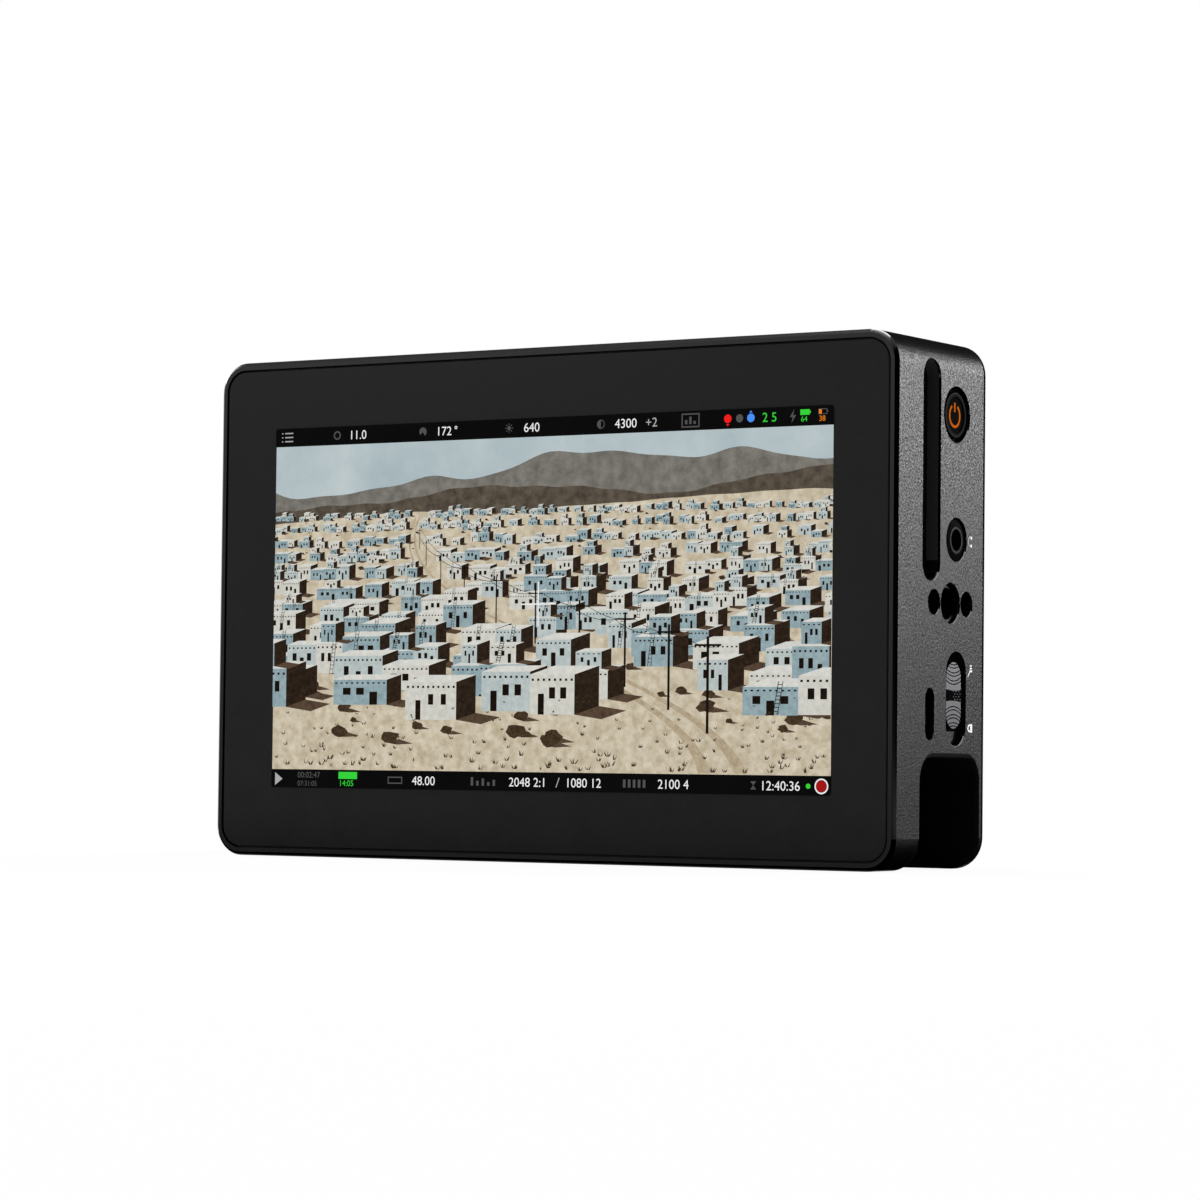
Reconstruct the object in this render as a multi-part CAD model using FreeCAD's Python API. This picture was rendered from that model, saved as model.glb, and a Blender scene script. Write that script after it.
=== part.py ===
import FreeCAD, Part
import math
import os

# A camera field monitor: a touch screen in a milled aluminium body with side controls.
# X runs to the right, Y away from the viewer, Z up, in millimetres.
# The origin is the middle of the footprint, on the surface that the monitor stands on.
# A depth is a distance behind the front rim of the body.

# Body: one rounded block, hollowed from the front and from the back
BODY_WIDTH = 133.8
BODY_HEIGHT = 85.6
BODY_DEPTH = 30.8
CORNER_RADIUS = 5.2
WALL = 2.4
FRONT_CHAMFER = 0.6
REAR_CHAMFER = 0.5
HOLE_CHAMFER = 0.15
VENT_CHAMFER = 0.3

# Display stack, from the glass to the plate that carries the boards
PICTURE_BORDER = 11.82
PANEL_MARGIN = 2.2
RIM_WIDTH = 0.7
GLASS_GROOVE = 0.25
GLASS_SINK = 0.1
GLASS_THICKNESS = 1.1
GLASS_BEVEL = 0.15
GASKET_THICKNESS = 0.3
PANEL_THICKNESS = 1.8
BACKLIGHT_THICKNESS = 2.85
MID_PLATE_THICKNESS = 1.0
MID_PLATE_GAP = 0.3
FLEX_WIDTH = 22.0
FLEX_THICKNESS = 0.25
FLEX_DROP = 2.6
FLEX_WINDOW_GAP = 0.5

# Screw posts and screws
POST_RADIUS = 3.0
POST_INSET = 2.4
TOP_POST_INSET = 14.9
POST_BAY_GAP = 0.8
SCREW_RADIUS = 1.0
SCREW_HEAD_RADIUS = 2.0
SCREW_HEAD_HEIGHT = 1.1
SCREW_LENGTH = 5.0
SCREW_SOCKET = 1.3
SCREW_GAP = 0.1

# Side mounts: a quarter-inch thread with a locating hole on each side of it
MOUNT_BEHIND_MIDDLE = 0.575
PIN_SPACING = 11.27
PIN_HOLE_RADIUS = 2.0
PIN_HOLE_LENGTH = 4.0
THREAD_RADIUS = 2.6
INSERT_RADIUS = 3.2
INSERT_GAP = 0.05
INSERT_LENGTH = 8.0
INSERT_SINK = 0.8
BOSS_WALL = 1.0
BOSS_FLOOR = 1.0

# Vent slot in each side, and the dust screen behind it
VENT_DEPTH = 11.7
VENT_WIDTH = 5.55
VENT_ABOVE_MOUNT = 3.5
VENT_BELOW_TOP = 4.1
SCREEN_THICKNESS = 0.6
SCREEN_GAP = 0.25
SCREEN_MARGIN = 0.5
SCREEN_SLIT = 1.3
SCREEN_PITCH = 2.4

# Power button, its seal and its switch
BUTTON_OFF_BOARD = 3.9
BUTTON_BELOW_TOP = 12.3
BUTTON_HOLE_RADIUS = 4.5
BUTTON_RADIUS = 3.75
BUTTON_SINK = 0.2
BUTTON_ROUND = 0.35
BUTTON_TRAVEL = 0.5
BUTTON_FLANGE_RADIUS = 4.8
BUTTON_FLANGE_THICKNESS = 1.0
BUTTON_LENS_RADIUS = 3.0
BUTTON_LENS_SINK = 0.25
BUTTON_LENS_THICKNESS = 0.9
BUTTON_GAP = 0.3
SEAL_GAP = 0.05
SEAL_SINK = 1.0
SEAL_FLANGE = 0.6
PLUNGER_RADIUS = 1.5
PLUNGER_GAP = 0.05
PLUNGER_LENGTH = 2.0
PLUNGER_GRIP = 1.0
SWITCH_WIDTH = 6.6
SWITCH_LENGTH = 5.6

# Headphone socket
JACK_OFF_BOARD = 3.8
JACK_ABOVE_MOUNT = 10.3
JACK_HOLE_RADIUS = 3.5
JACK_NOSE_GAP = 0.1
JACK_SINK = 0.05
JACK_BORE_RADIUS = 1.8
JACK_BORE_LENGTH = 13.0
JACK_BODY_WIDTH = 8.4
JACK_BODY_LENGTH = 12.0
JACK_RING_RADIUS = 2.15
JACK_RING_LENGTH = 0.9
JACK_RING_WALL = 0.25
JACK_NOSE_RISE = 0.35

# Data socket
USB_ABOVE_BAY = 6.85
USB_SLOT_WIDTH = 3.1
USB_SLOT_HEIGHT = 8.4
USB_SHELL_WIDTH = 3.26
USB_SHELL_HEIGHT = 8.94
USB_SHELL_WALL = 0.35
USB_SHELL_LENGTH = 7.4
USB_LIP = 0.8
USB_GAP = 0.1
USB_TONGUE_THICKNESS = 0.7
USB_TONGUE_WIDTH = 6.7
USB_TONGUE_LENGTH = 4.8

# Touch lock slider
LOCK_OFF_BOARD = 3.65
LOCK_ABOVE_BAY = 9.4
LOCK_OPENING_WIDTH = 6.7
LOCK_OPENING_HEIGHT = 15.1
LOCK_POCKET_DEPTH = 1.2
LOCK_TRAVEL = 2.0
LOCK_REST_RISE = 0.6
KNOB_WIDTH = 5.1
KNOB_HEIGHT = 10.7
KNOB_SINK = 0.45
KNOB_GAP = 0.15
RIB_WIDTH = 0.34
GROOVE_WIDTH = 0.18
GROOVE_DEPTH = 0.3
RIB_ARC_RADIUS = 5.5
RIB_FIRST = 2.05
RIB_PITCH = 1.3
RIB_COUNT = 3
GRIP_HALF_HEIGHT = 0.78
GRIP_ARC_RADIUS = 20.0
GRIP_RISE = 0.2
STEM_WIDTH = 2.0
STEM_HEIGHT = 3.4
ACTUATOR_WIDTH = 6.4
ACTUATOR_HEIGHT = 9.2
ACTUATOR_THICKNESS = 1.4
ACTUATOR_PIN = 1.6
LOCK_SWITCH_HEIGHT = 13.0
LOCK_SWITCH_LENGTH = 5.0
SLIDE_GAP = 0.2

# Connector bay in each lower rear corner
BAY_FRONT_GAP = 0.45
BAY_REAR_WALL = 2.3
BAY_BELOW_MOUNT = 24.7
BAY_REACH = 19.0
BAY_CORNER = 4.0
BAY_WALL = 1.5
BAY_LIP = 0.7
SOCKET_SWITCH_GAP = 1.0
SOCKET_SINK = 0.3
SOCKET_GAP = 0.2
HDMI_WIDTH = 15.0
HDMI_HEIGHT = 5.6
HDMI_WALL = 0.5
HDMI_LENGTH = 11.5
HDMI_BEVEL = 1.4
HDMI_TONGUE_WIDTH = 11.0
HDMI_TONGUE_THICKNESS = 1.8
HDMI_TONGUE_LENGTH = 8.0
INLET_NOSE_RADIUS = 4.0
INLET_BORE_RADIUS = 2.85
INLET_BORE_LENGTH = 9.0
INLET_PIN_RADIUS = 1.0
INLET_PIN_LENGTH = 7.5
INLET_BODY = 10.0

# Boards
BOARD_THICKNESS = 1.2
BOARD_GAP = 0.3
BOARD_STANDOFF = 1.82
MAIN_BOARD_STANDOFF_RADIUS = 2.5
MAIN_BOARD_SCREW_INSET = 5.0
IO_BOARD_REAR_GAP = 3.4
IO_BOARD_WIDTH = 18.5
STANDOFF_RADIUS = 2.2
STANDOFF_INSET = 2.6
CONNECTOR_WIDTH = 4.5
CONNECTOR_HEIGHT = 15.0
CONNECTOR_ABOVE_SOCKETS = 1.7
PROCESSOR_SIZE = 17.0
PROCESSOR_THICKNESS = 1.5

# Cooling
FAN_EDGE_GAP = 1.8
FAN_ABOVE_MOUNT = 9.0
FAN_SIZE = 30.0
FAN_THICKNESS = 7.0
FAN_RIM = 1.6
FAN_HUB_RADIUS = 6.4
FAN_BASE = 1.0
FAN_STRUT = 1.8
FAN_STRUT_ROOT = 0.65
FAN_SCREW_INSET = 2.6
FAN_SHAFT_RADIUS = 1.0
FAN_SHAFT_GAP = 0.04
FAN_TIP_GAP = 0.6
FAN_AXIAL_GAP = 0.5
BLADE_COUNT = 7
BLADE_THICKNESS = 0.7
BLADE_ROOT_ANGLE = 48.0
BLADE_TIP_ANGLE = 34.0
SINK_WIDTH = 46.0
SINK_HEIGHT = 36.0
SINK_BASE = 1.8
SINK_FIN = 0.9
SINK_FIN_COUNT = 11
SINK_FAN_GAP = 0.4

# Rear cover with its two grilles
COVER_THICKNESS = 2.0
COVER_GAP = 0.12
GRILLE_SLOT = 1.8
GRILLE_PITCH = 3.6
GRILLE_RADIUS = 13.0

# Battery plate, its contacts and its sprung latch
PLATE_WIDTH = 39.0
PLATE_HEIGHT = 62.0
PLATE_THICKNESS = 2.2
PLATE_POCKET = 1.0
PLATE_GAP = 0.1
PLATE_CORNER = 2.0
PLATE_SCREW_INSET = 3.6
HOOK_X = 13.2
HOOK_Z = 17.0
HOOK_LENGTH = 13.0
HOOK_WEB = 1.8
HOOK_RISE = 2.0
HOOK_LIP = 1.4
HOOK_REACH = 1.7
CONTACT_BLOCK_WIDTH = 20.0
CONTACT_BLOCK_HEIGHT = 6.0
CONTACT_BLOCK_ABOVE_EDGE = 3.0
CONTACT_COUNT = 3
CONTACT_PITCH = 6.0
CONTACT_THICKNESS = 0.8
CONTACT_BLADE = 4.0
CONTACT_ROOT = 4.5
CONTACT_RISE = 1.8
CONTACT_LIFT = 0.45
LATCH_WIDTH = 9.0
LATCH_HEIGHT = 5.0
LATCH_TRAVEL = 2.3
LATCH_STAND = 0.1
LATCH_BELOW_EDGE = 7.0
LATCH_GAP = 0.15
LATCH_FLANGE = 1.2
LATCH_FLANGE_THICKNESS = 1.2
LATCH_RAMP = 1.8
SPRING_FLAT = 2.2
SPRING_THICKNESS = 0.3
SPRING_WIDTH = 4.0
BRACKET_THICKNESS = 0.8

# Places worked out from the sizes above
PLATE_PROUD = PLATE_THICKNESS - PLATE_POCKET
HOOK_HEIGHT = HOOK_RISE + HOOK_LIP
FRONT = -(BODY_DEPTH + PLATE_PROUD + HOOK_HEIGHT) / 2
SIDE = BODY_WIDTH / 2
INNER = SIDE - WALL
MID_Z = BODY_HEIGHT / 2
MOUNT_Z = MID_Z
TOP_INNER = BODY_HEIGHT - WALL
GLASS_BACK = GLASS_SINK + GLASS_THICKNESS
LEDGE = GLASS_BACK + GASKET_THICKNESS
BACKLIGHT_FRONT = GLASS_BACK + PANEL_THICKNESS
MID_PLATE_FRONT = BACKLIGHT_FRONT + BACKLIGHT_THICKNESS
MID_PLATE_BACK = MID_PLATE_FRONT + MID_PLATE_THICKNESS
BOARD_FRONT = MID_PLATE_BACK + BOARD_STANDOFF
BOARD_BACK = BOARD_FRONT + BOARD_THICKNESS
USB_DEPTH = BOARD_BACK + USB_SHELL_WIDTH / 2
COVER_FRONT = BODY_DEPTH - COVER_THICKNESS
IO_BOARD_DEPTH = COVER_FRONT - IO_BOARD_REAR_GAP - BOARD_THICKNESS
BUTTON_DEPTH = IO_BOARD_DEPTH - BUTTON_OFF_BOARD
JACK_DEPTH = IO_BOARD_DEPTH - JACK_OFF_BOARD
LOCK_DEPTH = IO_BOARD_DEPTH - LOCK_OFF_BOARD
MOUNT_DEPTH = (MID_PLATE_BACK + COVER_FRONT) / 2 + MOUNT_BEHIND_MIDDLE
PICTURE_WIDTH = BODY_WIDTH - 2 * PICTURE_BORDER
PICTURE_HEIGHT = BODY_HEIGHT - 2 * PICTURE_BORDER
PANEL_WIDTH = PICTURE_WIDTH + 2 * PANEL_MARGIN
PANEL_HEIGHT = PICTURE_HEIGHT + 2 * PANEL_MARGIN
POCKET_WIDTH = BODY_WIDTH - 2 * (FRONT_CHAMFER + RIM_WIDTH)
POCKET_HEIGHT = BODY_HEIGHT - 2 * (FRONT_CHAMFER + RIM_WIDTH)
POCKET_RADIUS = CORNER_RADIUS - FRONT_CHAMFER - RIM_WIDTH
CAVITY_WIDTH = BODY_WIDTH - 2 * WALL
CAVITY_HEIGHT = BODY_HEIGHT - 2 * WALL
CAVITY_RADIUS = CORNER_RADIUS - WALL
BOSS_WIDTH = 2 * (INSERT_RADIUS + BOSS_WALL)
PIN_BOSS_END = PIN_HOLE_LENGTH + BOSS_FLOOR
BOSS_END = INSERT_SINK + INSERT_LENGTH + BOSS_FLOOR
BOARD_EDGE = SIDE - BOSS_END - BOARD_GAP
BAY_FRONT = MID_PLATE_BACK + BAY_FRONT_GAP + BAY_WALL
BAY_REAR = BODY_DEPTH - BAY_REAR_WALL
BAY_HEIGHT = MOUNT_Z - BAY_BELOW_MOUNT
BAY_INNER = SIDE - BAY_REACH
BAY_BLOCK_X = BAY_INNER - BAY_WALL
BAY_BLOCK_TOP = BAY_HEIGHT + BAY_WALL
BAY_MID_DEPTH = (BAY_FRONT + BAY_REAR) / 2
TOP_POST_X = SIDE - TOP_POST_INSET
LOW_POST_X = BAY_BLOCK_X - POST_BAY_GAP - POST_RADIUS
POSTS = [
    (side * x, z)
    for x, z in ((TOP_POST_X, TOP_INNER - POST_INSET), (LOW_POST_X, WALL + POST_INSET))
    for side in (-1, 1)
]
VENT_LOW = MOUNT_Z + VENT_ABOVE_MOUNT
VENT_HIGH = BODY_HEIGHT - VENT_BELOW_TOP
BUTTON_Z = BODY_HEIGHT - BUTTON_BELOW_TOP
JACK_Z = MOUNT_Z + JACK_ABOVE_MOUNT
USB_Z = BAY_HEIGHT + USB_ABOVE_BAY
LOCK_Z = BAY_HEIGHT + LOCK_ABOVE_BAY
KNOB_Z = LOCK_Z + LOCK_REST_RISE
SOCKET_LOW = BAY_HEIGHT + SOCKET_SINK
SOCKET_TOP = SOCKET_LOW + HDMI_LENGTH
SOCKET_BOARD_TOP = SOCKET_TOP + BOARD_THICKNESS
USB_FRONT = SIDE - USB_LIP - USB_GAP
BUTTON_TOP = SIDE - BUTTON_SINK
SEAL_INNER = INNER - SEAL_FLANGE
BUTTON_FLANGE_TOP = SEAL_INNER - BUTTON_GAP
BUTTON_BACK = BUTTON_FLANGE_TOP - BUTTON_FLANGE_THICKNESS
PLUNGER_END = BUTTON_BACK - PLUNGER_LENGTH
SWITCH_FACE = PLUNGER_END + PLUNGER_GRIP
KNOB_TOP = SIDE - KNOB_SINK
KNOB_BASE = SIDE - LOCK_POCKET_DEPTH + KNOB_GAP
ACTUATOR_TOP = INNER - SLIDE_GAP
ACTUATOR_BACK = ACTUATOR_TOP - ACTUATOR_THICKNESS
LOCK_SWITCH_FACE = ACTUATOR_BACK - SLIDE_GAP
LOCK_SWITCH_BACK = LOCK_SWITCH_FACE - LOCK_SWITCH_LENGTH
SOCKET_X = LOCK_SWITCH_BACK - SOCKET_SWITCH_GAP - HDMI_HEIGHT / 2
FAN_X = FAN_EDGE_GAP + FAN_SIZE / 2 - BOARD_EDGE
FAN_Z = MOUNT_Z + FAN_ABOVE_MOUNT
FAN_FRONT = COVER_FRONT - FAN_THICKNESS
FAN_BORE_RADIUS = FAN_SIZE / 2 - FAN_RIM
PLATE_BACK = BODY_DEPTH + PLATE_PROUD
PLATE_LOW = MID_Z - PLATE_HEIGHT / 2
LATCH_Z = MID_Z + PLATE_HEIGHT / 2 - LATCH_BELOW_EDGE
LATCH_RISE = LATCH_TRAVEL + LATCH_STAND
LATCH_FLANGE_BACK = COVER_FRONT - LATCH_GAP
LATCH_FLANGE_FRONT = LATCH_FLANGE_BACK - LATCH_FLANGE_THICKNESS
SPRING_LENGTH = LATCH_TRAVEL + SPRING_FLAT
BRACKET_SEAT = LATCH_FLANGE_FRONT - SPRING_LENGTH
CONTACT_Z = PLATE_LOW + CONTACT_BLOCK_ABOVE_EDGE + CONTACT_BLOCK_HEIGHT / 2
IO_BOARD_X = BOARD_EDGE + BOARD_GAP + WALL

# How far a cut runs past a face, and how near two places count as one
PAST = 1.0
TOUCH = 0.001

Vector = FreeCAD.Vector
ALONG_X = Vector(1, 0, 0)
ALONG_Y = Vector(0, 1, 0)
ALONG_Z = Vector(0, 0, 1)


def box(x0, x1, depth0, depth1, z0, z1):
    """A block between two corners."""
    return Part.makeBox(x1 - x0, depth1 - depth0, z1 - z0, Vector(x0, FRONT + depth0, z0))


def rod_x(radius, x0, x1, depth, z):
    """A round bar across the body."""
    return Part.makeCylinder(radius, x1 - x0, Vector(x0, FRONT + depth, z), ALONG_X)


def rod_y(radius, depth0, depth1, x, z):
    """A round bar from front to back."""
    return Part.makeCylinder(radius, depth1 - depth0, Vector(x, FRONT + depth0, z), ALONG_Y)


def rod_z(radius, z0, z1, x, depth):
    """An upright round bar."""
    return Part.makeCylinder(radius, z1 - z0, Vector(x, FRONT + depth, z0), ALONG_Z)


def edges_along(shape, direction):
    """The straight edges of a shape that run along a direction."""
    found = []
    for edge in shape.Edges:
        if isinstance(edge.Curve, Part.Line) and abs(edge.Curve.Direction.dot(direction)) > 1 - TOUCH:
            found.append(edge)
    return found


def slab(width, height, radius, depth0, depth1, x=0.0, z=MID_Z):
    """A plate with rounded corners, facing the front."""
    block = box(x - width / 2, x + width / 2, depth0, depth1, z - height / 2, z + height / 2)
    return block.makeFillet(radius, edges_along(block, ALONG_Y))


def stadium(width, height):
    """An upright face with round ends, in the plane across X, about the origin."""
    radius = width / 2
    straight = height / 2 - radius
    front_low = Vector(0, -radius, -straight)
    front_high = Vector(0, -radius, straight)
    rear_high = Vector(0, radius, straight)
    rear_low = Vector(0, radius, -straight)
    edges = [
        Part.LineSegment(front_low, front_high).toShape(),
        Part.Arc(front_high, Vector(0, 0, height / 2), rear_high).toShape(),
        Part.LineSegment(rear_high, rear_low).toShape(),
        Part.Arc(rear_low, Vector(0, 0, -height / 2), front_low).toShape(),
    ]
    return Part.Face(Part.Wire(edges))


def slot_x(width, height, x0, x1, depth, z):
    """A bar with a stadium section, across the body."""
    bar = stadium(width, height).extrude(Vector(x1 - x0, 0, 0))
    bar.translate(Vector(x0, FRONT + depth, z))
    return bar


def slot_y(width, height, depth0, depth1, x, z):
    """A bar with an upright stadium section, from front to back."""
    face = stadium(width, height)
    face.rotate(Vector(0, 0, 0), ALONG_Z, 90)
    bar = face.extrude(Vector(0, depth1 - depth0, 0))
    bar.translate(Vector(x, FRONT + depth0, z))
    return bar


def mirrored(shape):
    """The same piece on the other side of the body."""
    return shape.mirror(Vector(0, 0, 0), ALONG_X)


def both_sides(shape):
    """A piece and its mirror image."""
    return [shape, mirrored(shape)]


def screw(x, z, head_depth, direction):
    """A socket screw along Y: its head ends at head_depth and its shank runs in direction."""
    head = Part.makeCylinder(SCREW_HEAD_RADIUS, SCREW_HEAD_HEIGHT)
    shank = Part.makeCylinder(SCREW_RADIUS, SCREW_LENGTH, Vector(0, 0, SCREW_HEAD_HEIGHT))
    corners = [
        Vector(SCREW_SOCKET * math.cos(turn * math.pi / 3), SCREW_SOCKET * math.sin(turn * math.pi / 3), 0)
        for turn in range(7)
    ]
    socket = Part.Face(Part.makePolygon(corners)).extrude(Vector(0, 0, SCREW_HEAD_HEIGHT / 2))
    body = head.fuse(shank).removeSplitter().cut(socket)
    body.rotate(Vector(0, 0, 0), ALONG_X, -90 * direction)
    body.translate(Vector(x, FRONT + head_depth, z))
    return body


def screw_hole(x, z, depth0, depth1):
    """The clearance hole for a screw shank along Y."""
    return rod_y(SCREW_RADIUS + SCREW_GAP, depth0, depth1, x, z)


def head_hole(x, z, face_depth):
    """The counterbore that lets a screw head in flush with a face that looks to the back."""
    return rod_y(SCREW_HEAD_RADIUS + SCREW_GAP, face_depth - SCREW_HEAD_HEIGHT, face_depth + PAST, x, z)


def mount_tools(start, outward, across):
    """A mount's boss and its cuts: a threaded hole with a locating hole on each side.

    start is the middle of the mouth, outward the way that a bolt leaves it, and across the
    direction of the line of holes.
    """
    inward = outward * -1
    above = start + outward * PAST
    seat = INSERT_SINK + INSERT_LENGTH
    pin_boss = PIN_HOLE_RADIUS + BOSS_WALL
    boss = Part.makeCylinder(INSERT_RADIUS + BOSS_WALL, BOSS_END, start, inward)
    cuts = [Part.makeCylinder(INSERT_RADIUS + INSERT_GAP, seat + PAST, above, inward)]
    edge = outward.cross(across) * pin_boss
    for way in (-1, 1):
        offset = across * (way * PIN_SPACING / 2)
        corners = [start + edge, start + offset + edge, start + offset - edge, start - edge, start + edge]
        web = Part.Face(Part.makePolygon(corners)).extrude(inward * PIN_BOSS_END)
        boss = boss.fuse([web, Part.makeCylinder(pin_boss, PIN_BOSS_END, start + offset, inward)])
        cuts.append(Part.makeCylinder(PIN_HOLE_RADIUS, PIN_HOLE_LENGTH + PAST, above + offset, inward))
    return boss.removeSplitter(), cuts


def thread_insert(start, outward):
    """The steel thread insert of one mount, seated on the floor of its hole."""
    top = start - outward * INSERT_SINK
    sleeve = Part.makeCylinder(INSERT_RADIUS, INSERT_LENGTH, top, outward * -1)
    thread = Part.makeCylinder(THREAD_RADIUS, INSERT_LENGTH, top, outward * -1)
    return sleeve.cut(thread)


MOUNTS = [
    (Vector(SIDE, FRONT + MOUNT_DEPTH, MOUNT_Z), ALONG_X, ALONG_Y),
    (Vector(-SIDE, FRONT + MOUNT_DEPTH, MOUNT_Z), ALONG_X * -1, ALONG_Y),
    (Vector(0, FRONT + MOUNT_DEPTH, 0), ALONG_Z * -1, ALONG_X),
]


def bay_block():
    """The block of the body that the right connector bay is cut into."""
    return box(BAY_BLOCK_X, SIDE, BAY_FRONT - BAY_WALL, BODY_DEPTH, 0, BAY_BLOCK_TOP)


def bay_cut():
    """The right connector bay, open to the side and below, with round upper corners."""
    block = box(BAY_INNER, SIDE + BAY_CORNER, BAY_FRONT, BAY_REAR, -BAY_CORNER, BAY_HEIGHT)
    upper = [edge for edge in edges_along(block, ALONG_X) if edge.CenterOfMass.z > 0]
    return block.makeFillet(BAY_CORNER, upper)


def bay_lip_edges(shape, side):
    """The edges of a bay's mouth on the side of the body."""
    found = []
    for edge in shape.Edges:
        bounds = edge.BoundBox
        on_side = abs(bounds.XMin - side) < TOUCH and abs(bounds.XMax - side) < TOUCH
        in_depth = bounds.YMin > FRONT + BAY_FRONT - TOUCH and bounds.YMax < FRONT + BAY_REAR + TOUCH
        if on_side and in_depth and bounds.ZMax < BAY_HEIGHT + TOUCH:
            found.append(edge)
    return found


def right_cuts():
    """The cuts that only the right side has, for the controls and the sockets."""
    outside = SIDE + PAST
    hole = rod_x(BUTTON_HOLE_RADIUS, INNER - PAST, outside, BUTTON_DEPTH, BUTTON_Z)
    jack = rod_x(JACK_HOLE_RADIUS, INNER - PAST, outside, JACK_DEPTH, JACK_Z)
    pocket = slot_x(LOCK_OPENING_WIDTH, LOCK_OPENING_HEIGHT, SIDE - LOCK_POCKET_DEPTH, outside,
                    LOCK_DEPTH, LOCK_Z)
    return [hole, jack, pocket]


def right_inner_cuts():
    """The sharp-edged cuts: the data socket's slot and seat, the slider's slot, the video socket's."""
    usb = slot_x(USB_SLOT_WIDTH, USB_SLOT_HEIGHT, INNER - PAST, SIDE + PAST, USB_DEPTH, USB_Z)
    usb_seat = slot_x(USB_SHELL_WIDTH + 2 * USB_GAP, USB_SHELL_HEIGHT + 2 * USB_GAP, INNER - PAST,
                      SIDE - USB_LIP, USB_DEPTH, USB_Z)
    stem_slot = box(INNER - PAST, SIDE - LOCK_POCKET_DEPTH + PAST,
                    LOCK_DEPTH - STEM_WIDTH / 2 - SLIDE_GAP, LOCK_DEPTH + STEM_WIDTH / 2 + SLIDE_GAP,
                    KNOB_Z - STEM_HEIGHT / 2 - LOCK_TRAVEL - SLIDE_GAP,
                    KNOB_Z + STEM_HEIGHT / 2 + SLIDE_GAP)
    video = box(SOCKET_X - HDMI_HEIGHT / 2 - SOCKET_GAP, SOCKET_X + HDMI_HEIGHT / 2 + SOCKET_GAP,
                BAY_MID_DEPTH - HDMI_WIDTH / 2 - SOCKET_GAP,
                BAY_MID_DEPTH + HDMI_WIDTH / 2 + SOCKET_GAP,
                BAY_HEIGHT - PAST, BAY_BLOCK_TOP + PAST)
    return [usb, usb_seat, stem_slot, video]


def mouth_edges(shape, tools):
    """The edges that the tools leave where they enter the side faces of the body."""
    skin = SIDE - FRONT_CHAMFER
    found = []
    for edge in shape.Edges:
        bounds = edge.BoundBox
        on_skin = bounds.XMin > skin or bounds.XMax < -skin
        if on_skin and any(tool.BoundBox.isInside(bounds) for tool in tools):
            found.append(edge)
    return found


def housing():
    """The milled body: walls, glass ledge, screw posts, mount bosses and bay walls in one piece."""
    outer = slab(BODY_WIDTH, BODY_HEIGHT, CORNER_RADIUS, 0, BODY_DEPTH)
    front = [edge for edge in outer.Edges if edge.BoundBox.YMax < FRONT + TOUCH]
    outer = outer.makeChamfer(FRONT_CHAMFER, front)
    rear = [edge for edge in outer.Edges if edge.BoundBox.YMin > FRONT + BODY_DEPTH - TOUCH]
    outer = outer.makeChamfer(REAR_CHAMFER, rear)
    bosses = []
    cuts = []
    for start, outward, across in MOUNTS:
        boss, holes = mount_tools(start, outward, across)
        bosses.append(boss)
        cuts.extend(holes)
    posts = [rod_y(POST_RADIUS, MID_PLATE_BACK, COVER_FRONT, x, z) for x, z in POSTS]
    hollow = slab(CAVITY_WIDTH, CAVITY_HEIGHT, CAVITY_RADIUS, LEDGE, BODY_DEPTH + PAST)
    hollow = hollow.cut(posts + bosses + both_sides(bay_block()))
    pocket = slab(POCKET_WIDTH, POCKET_HEIGHT, POCKET_RADIUS, -PAST, LEDGE)
    vent = slot_x(VENT_WIDTH, VENT_HIGH - VENT_LOW, INNER - PAST, SIDE + PAST, VENT_DEPTH,
                  (VENT_LOW + VENT_HIGH) / 2)
    inlet = rod_z(INLET_NOSE_RADIUS + SOCKET_GAP, BAY_HEIGHT - PAST, BAY_BLOCK_TOP + PAST,
                  -SOCKET_X, BAY_MID_DEPTH)
    body = outer.cut([hollow, pocket] + both_sides(bay_cut()))
    for side in (-SIDE, SIDE):
        body = body.makeFillet(BAY_LIP, bay_lip_edges(body, side))
    cuts = cuts + right_cuts()
    vents = both_sides(vent)
    body = body.cut(cuts + vents)
    body = body.makeChamfer(HOLE_CHAMFER, mouth_edges(body, cuts))
    body = body.makeChamfer(VENT_CHAMFER, mouth_edges(body, vents))
    body = body.cut(right_inner_cuts() + [inlet])
    threads = [rod_y(SCREW_RADIUS, MID_PLATE_BACK - PAST, COVER_FRONT + PAST, x, z) for x, z in POSTS]
    return body.cut(threads)


def cover_glass():
    """The touch glass, let into the front rim with an even groove around it."""
    inset = 2 * GLASS_GROOVE
    glass = slab(POCKET_WIDTH - inset, POCKET_HEIGHT - inset, POCKET_RADIUS - GLASS_GROOVE,
                 GLASS_SINK, GLASS_BACK)
    front = [edge for edge in glass.Edges if edge.BoundBox.YMax < FRONT + GLASS_SINK + TOUCH]
    return glass.makeChamfer(GLASS_BEVEL, front)


def glass_gasket():
    """The frame of foam tape between the glass and the ledge of the body."""
    inset = 2 * GLASS_GROOVE
    frame = slab(POCKET_WIDTH - inset, POCKET_HEIGHT - inset, POCKET_RADIUS - GLASS_GROOVE,
                 GLASS_BACK, LEDGE)
    opening = slab(CAVITY_WIDTH, CAVITY_HEIGHT, CAVITY_RADIUS, GLASS_BACK - PAST, LEDGE + PAST)
    return frame.cut(opening)


def lcd_panel():
    """The display panel, bonded to the back of the glass."""
    return box(-PANEL_WIDTH / 2, PANEL_WIDTH / 2, GLASS_BACK, BACKLIGHT_FRONT,
               MID_Z - PANEL_HEIGHT / 2, MID_Z + PANEL_HEIGHT / 2)


def backlight_unit():
    """The light box behind the panel."""
    return box(-PANEL_WIDTH / 2, PANEL_WIDTH / 2, BACKLIGHT_FRONT, MID_PLATE_FRONT,
               MID_Z - PANEL_HEIGHT / 2, MID_Z + PANEL_HEIGHT / 2)


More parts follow.
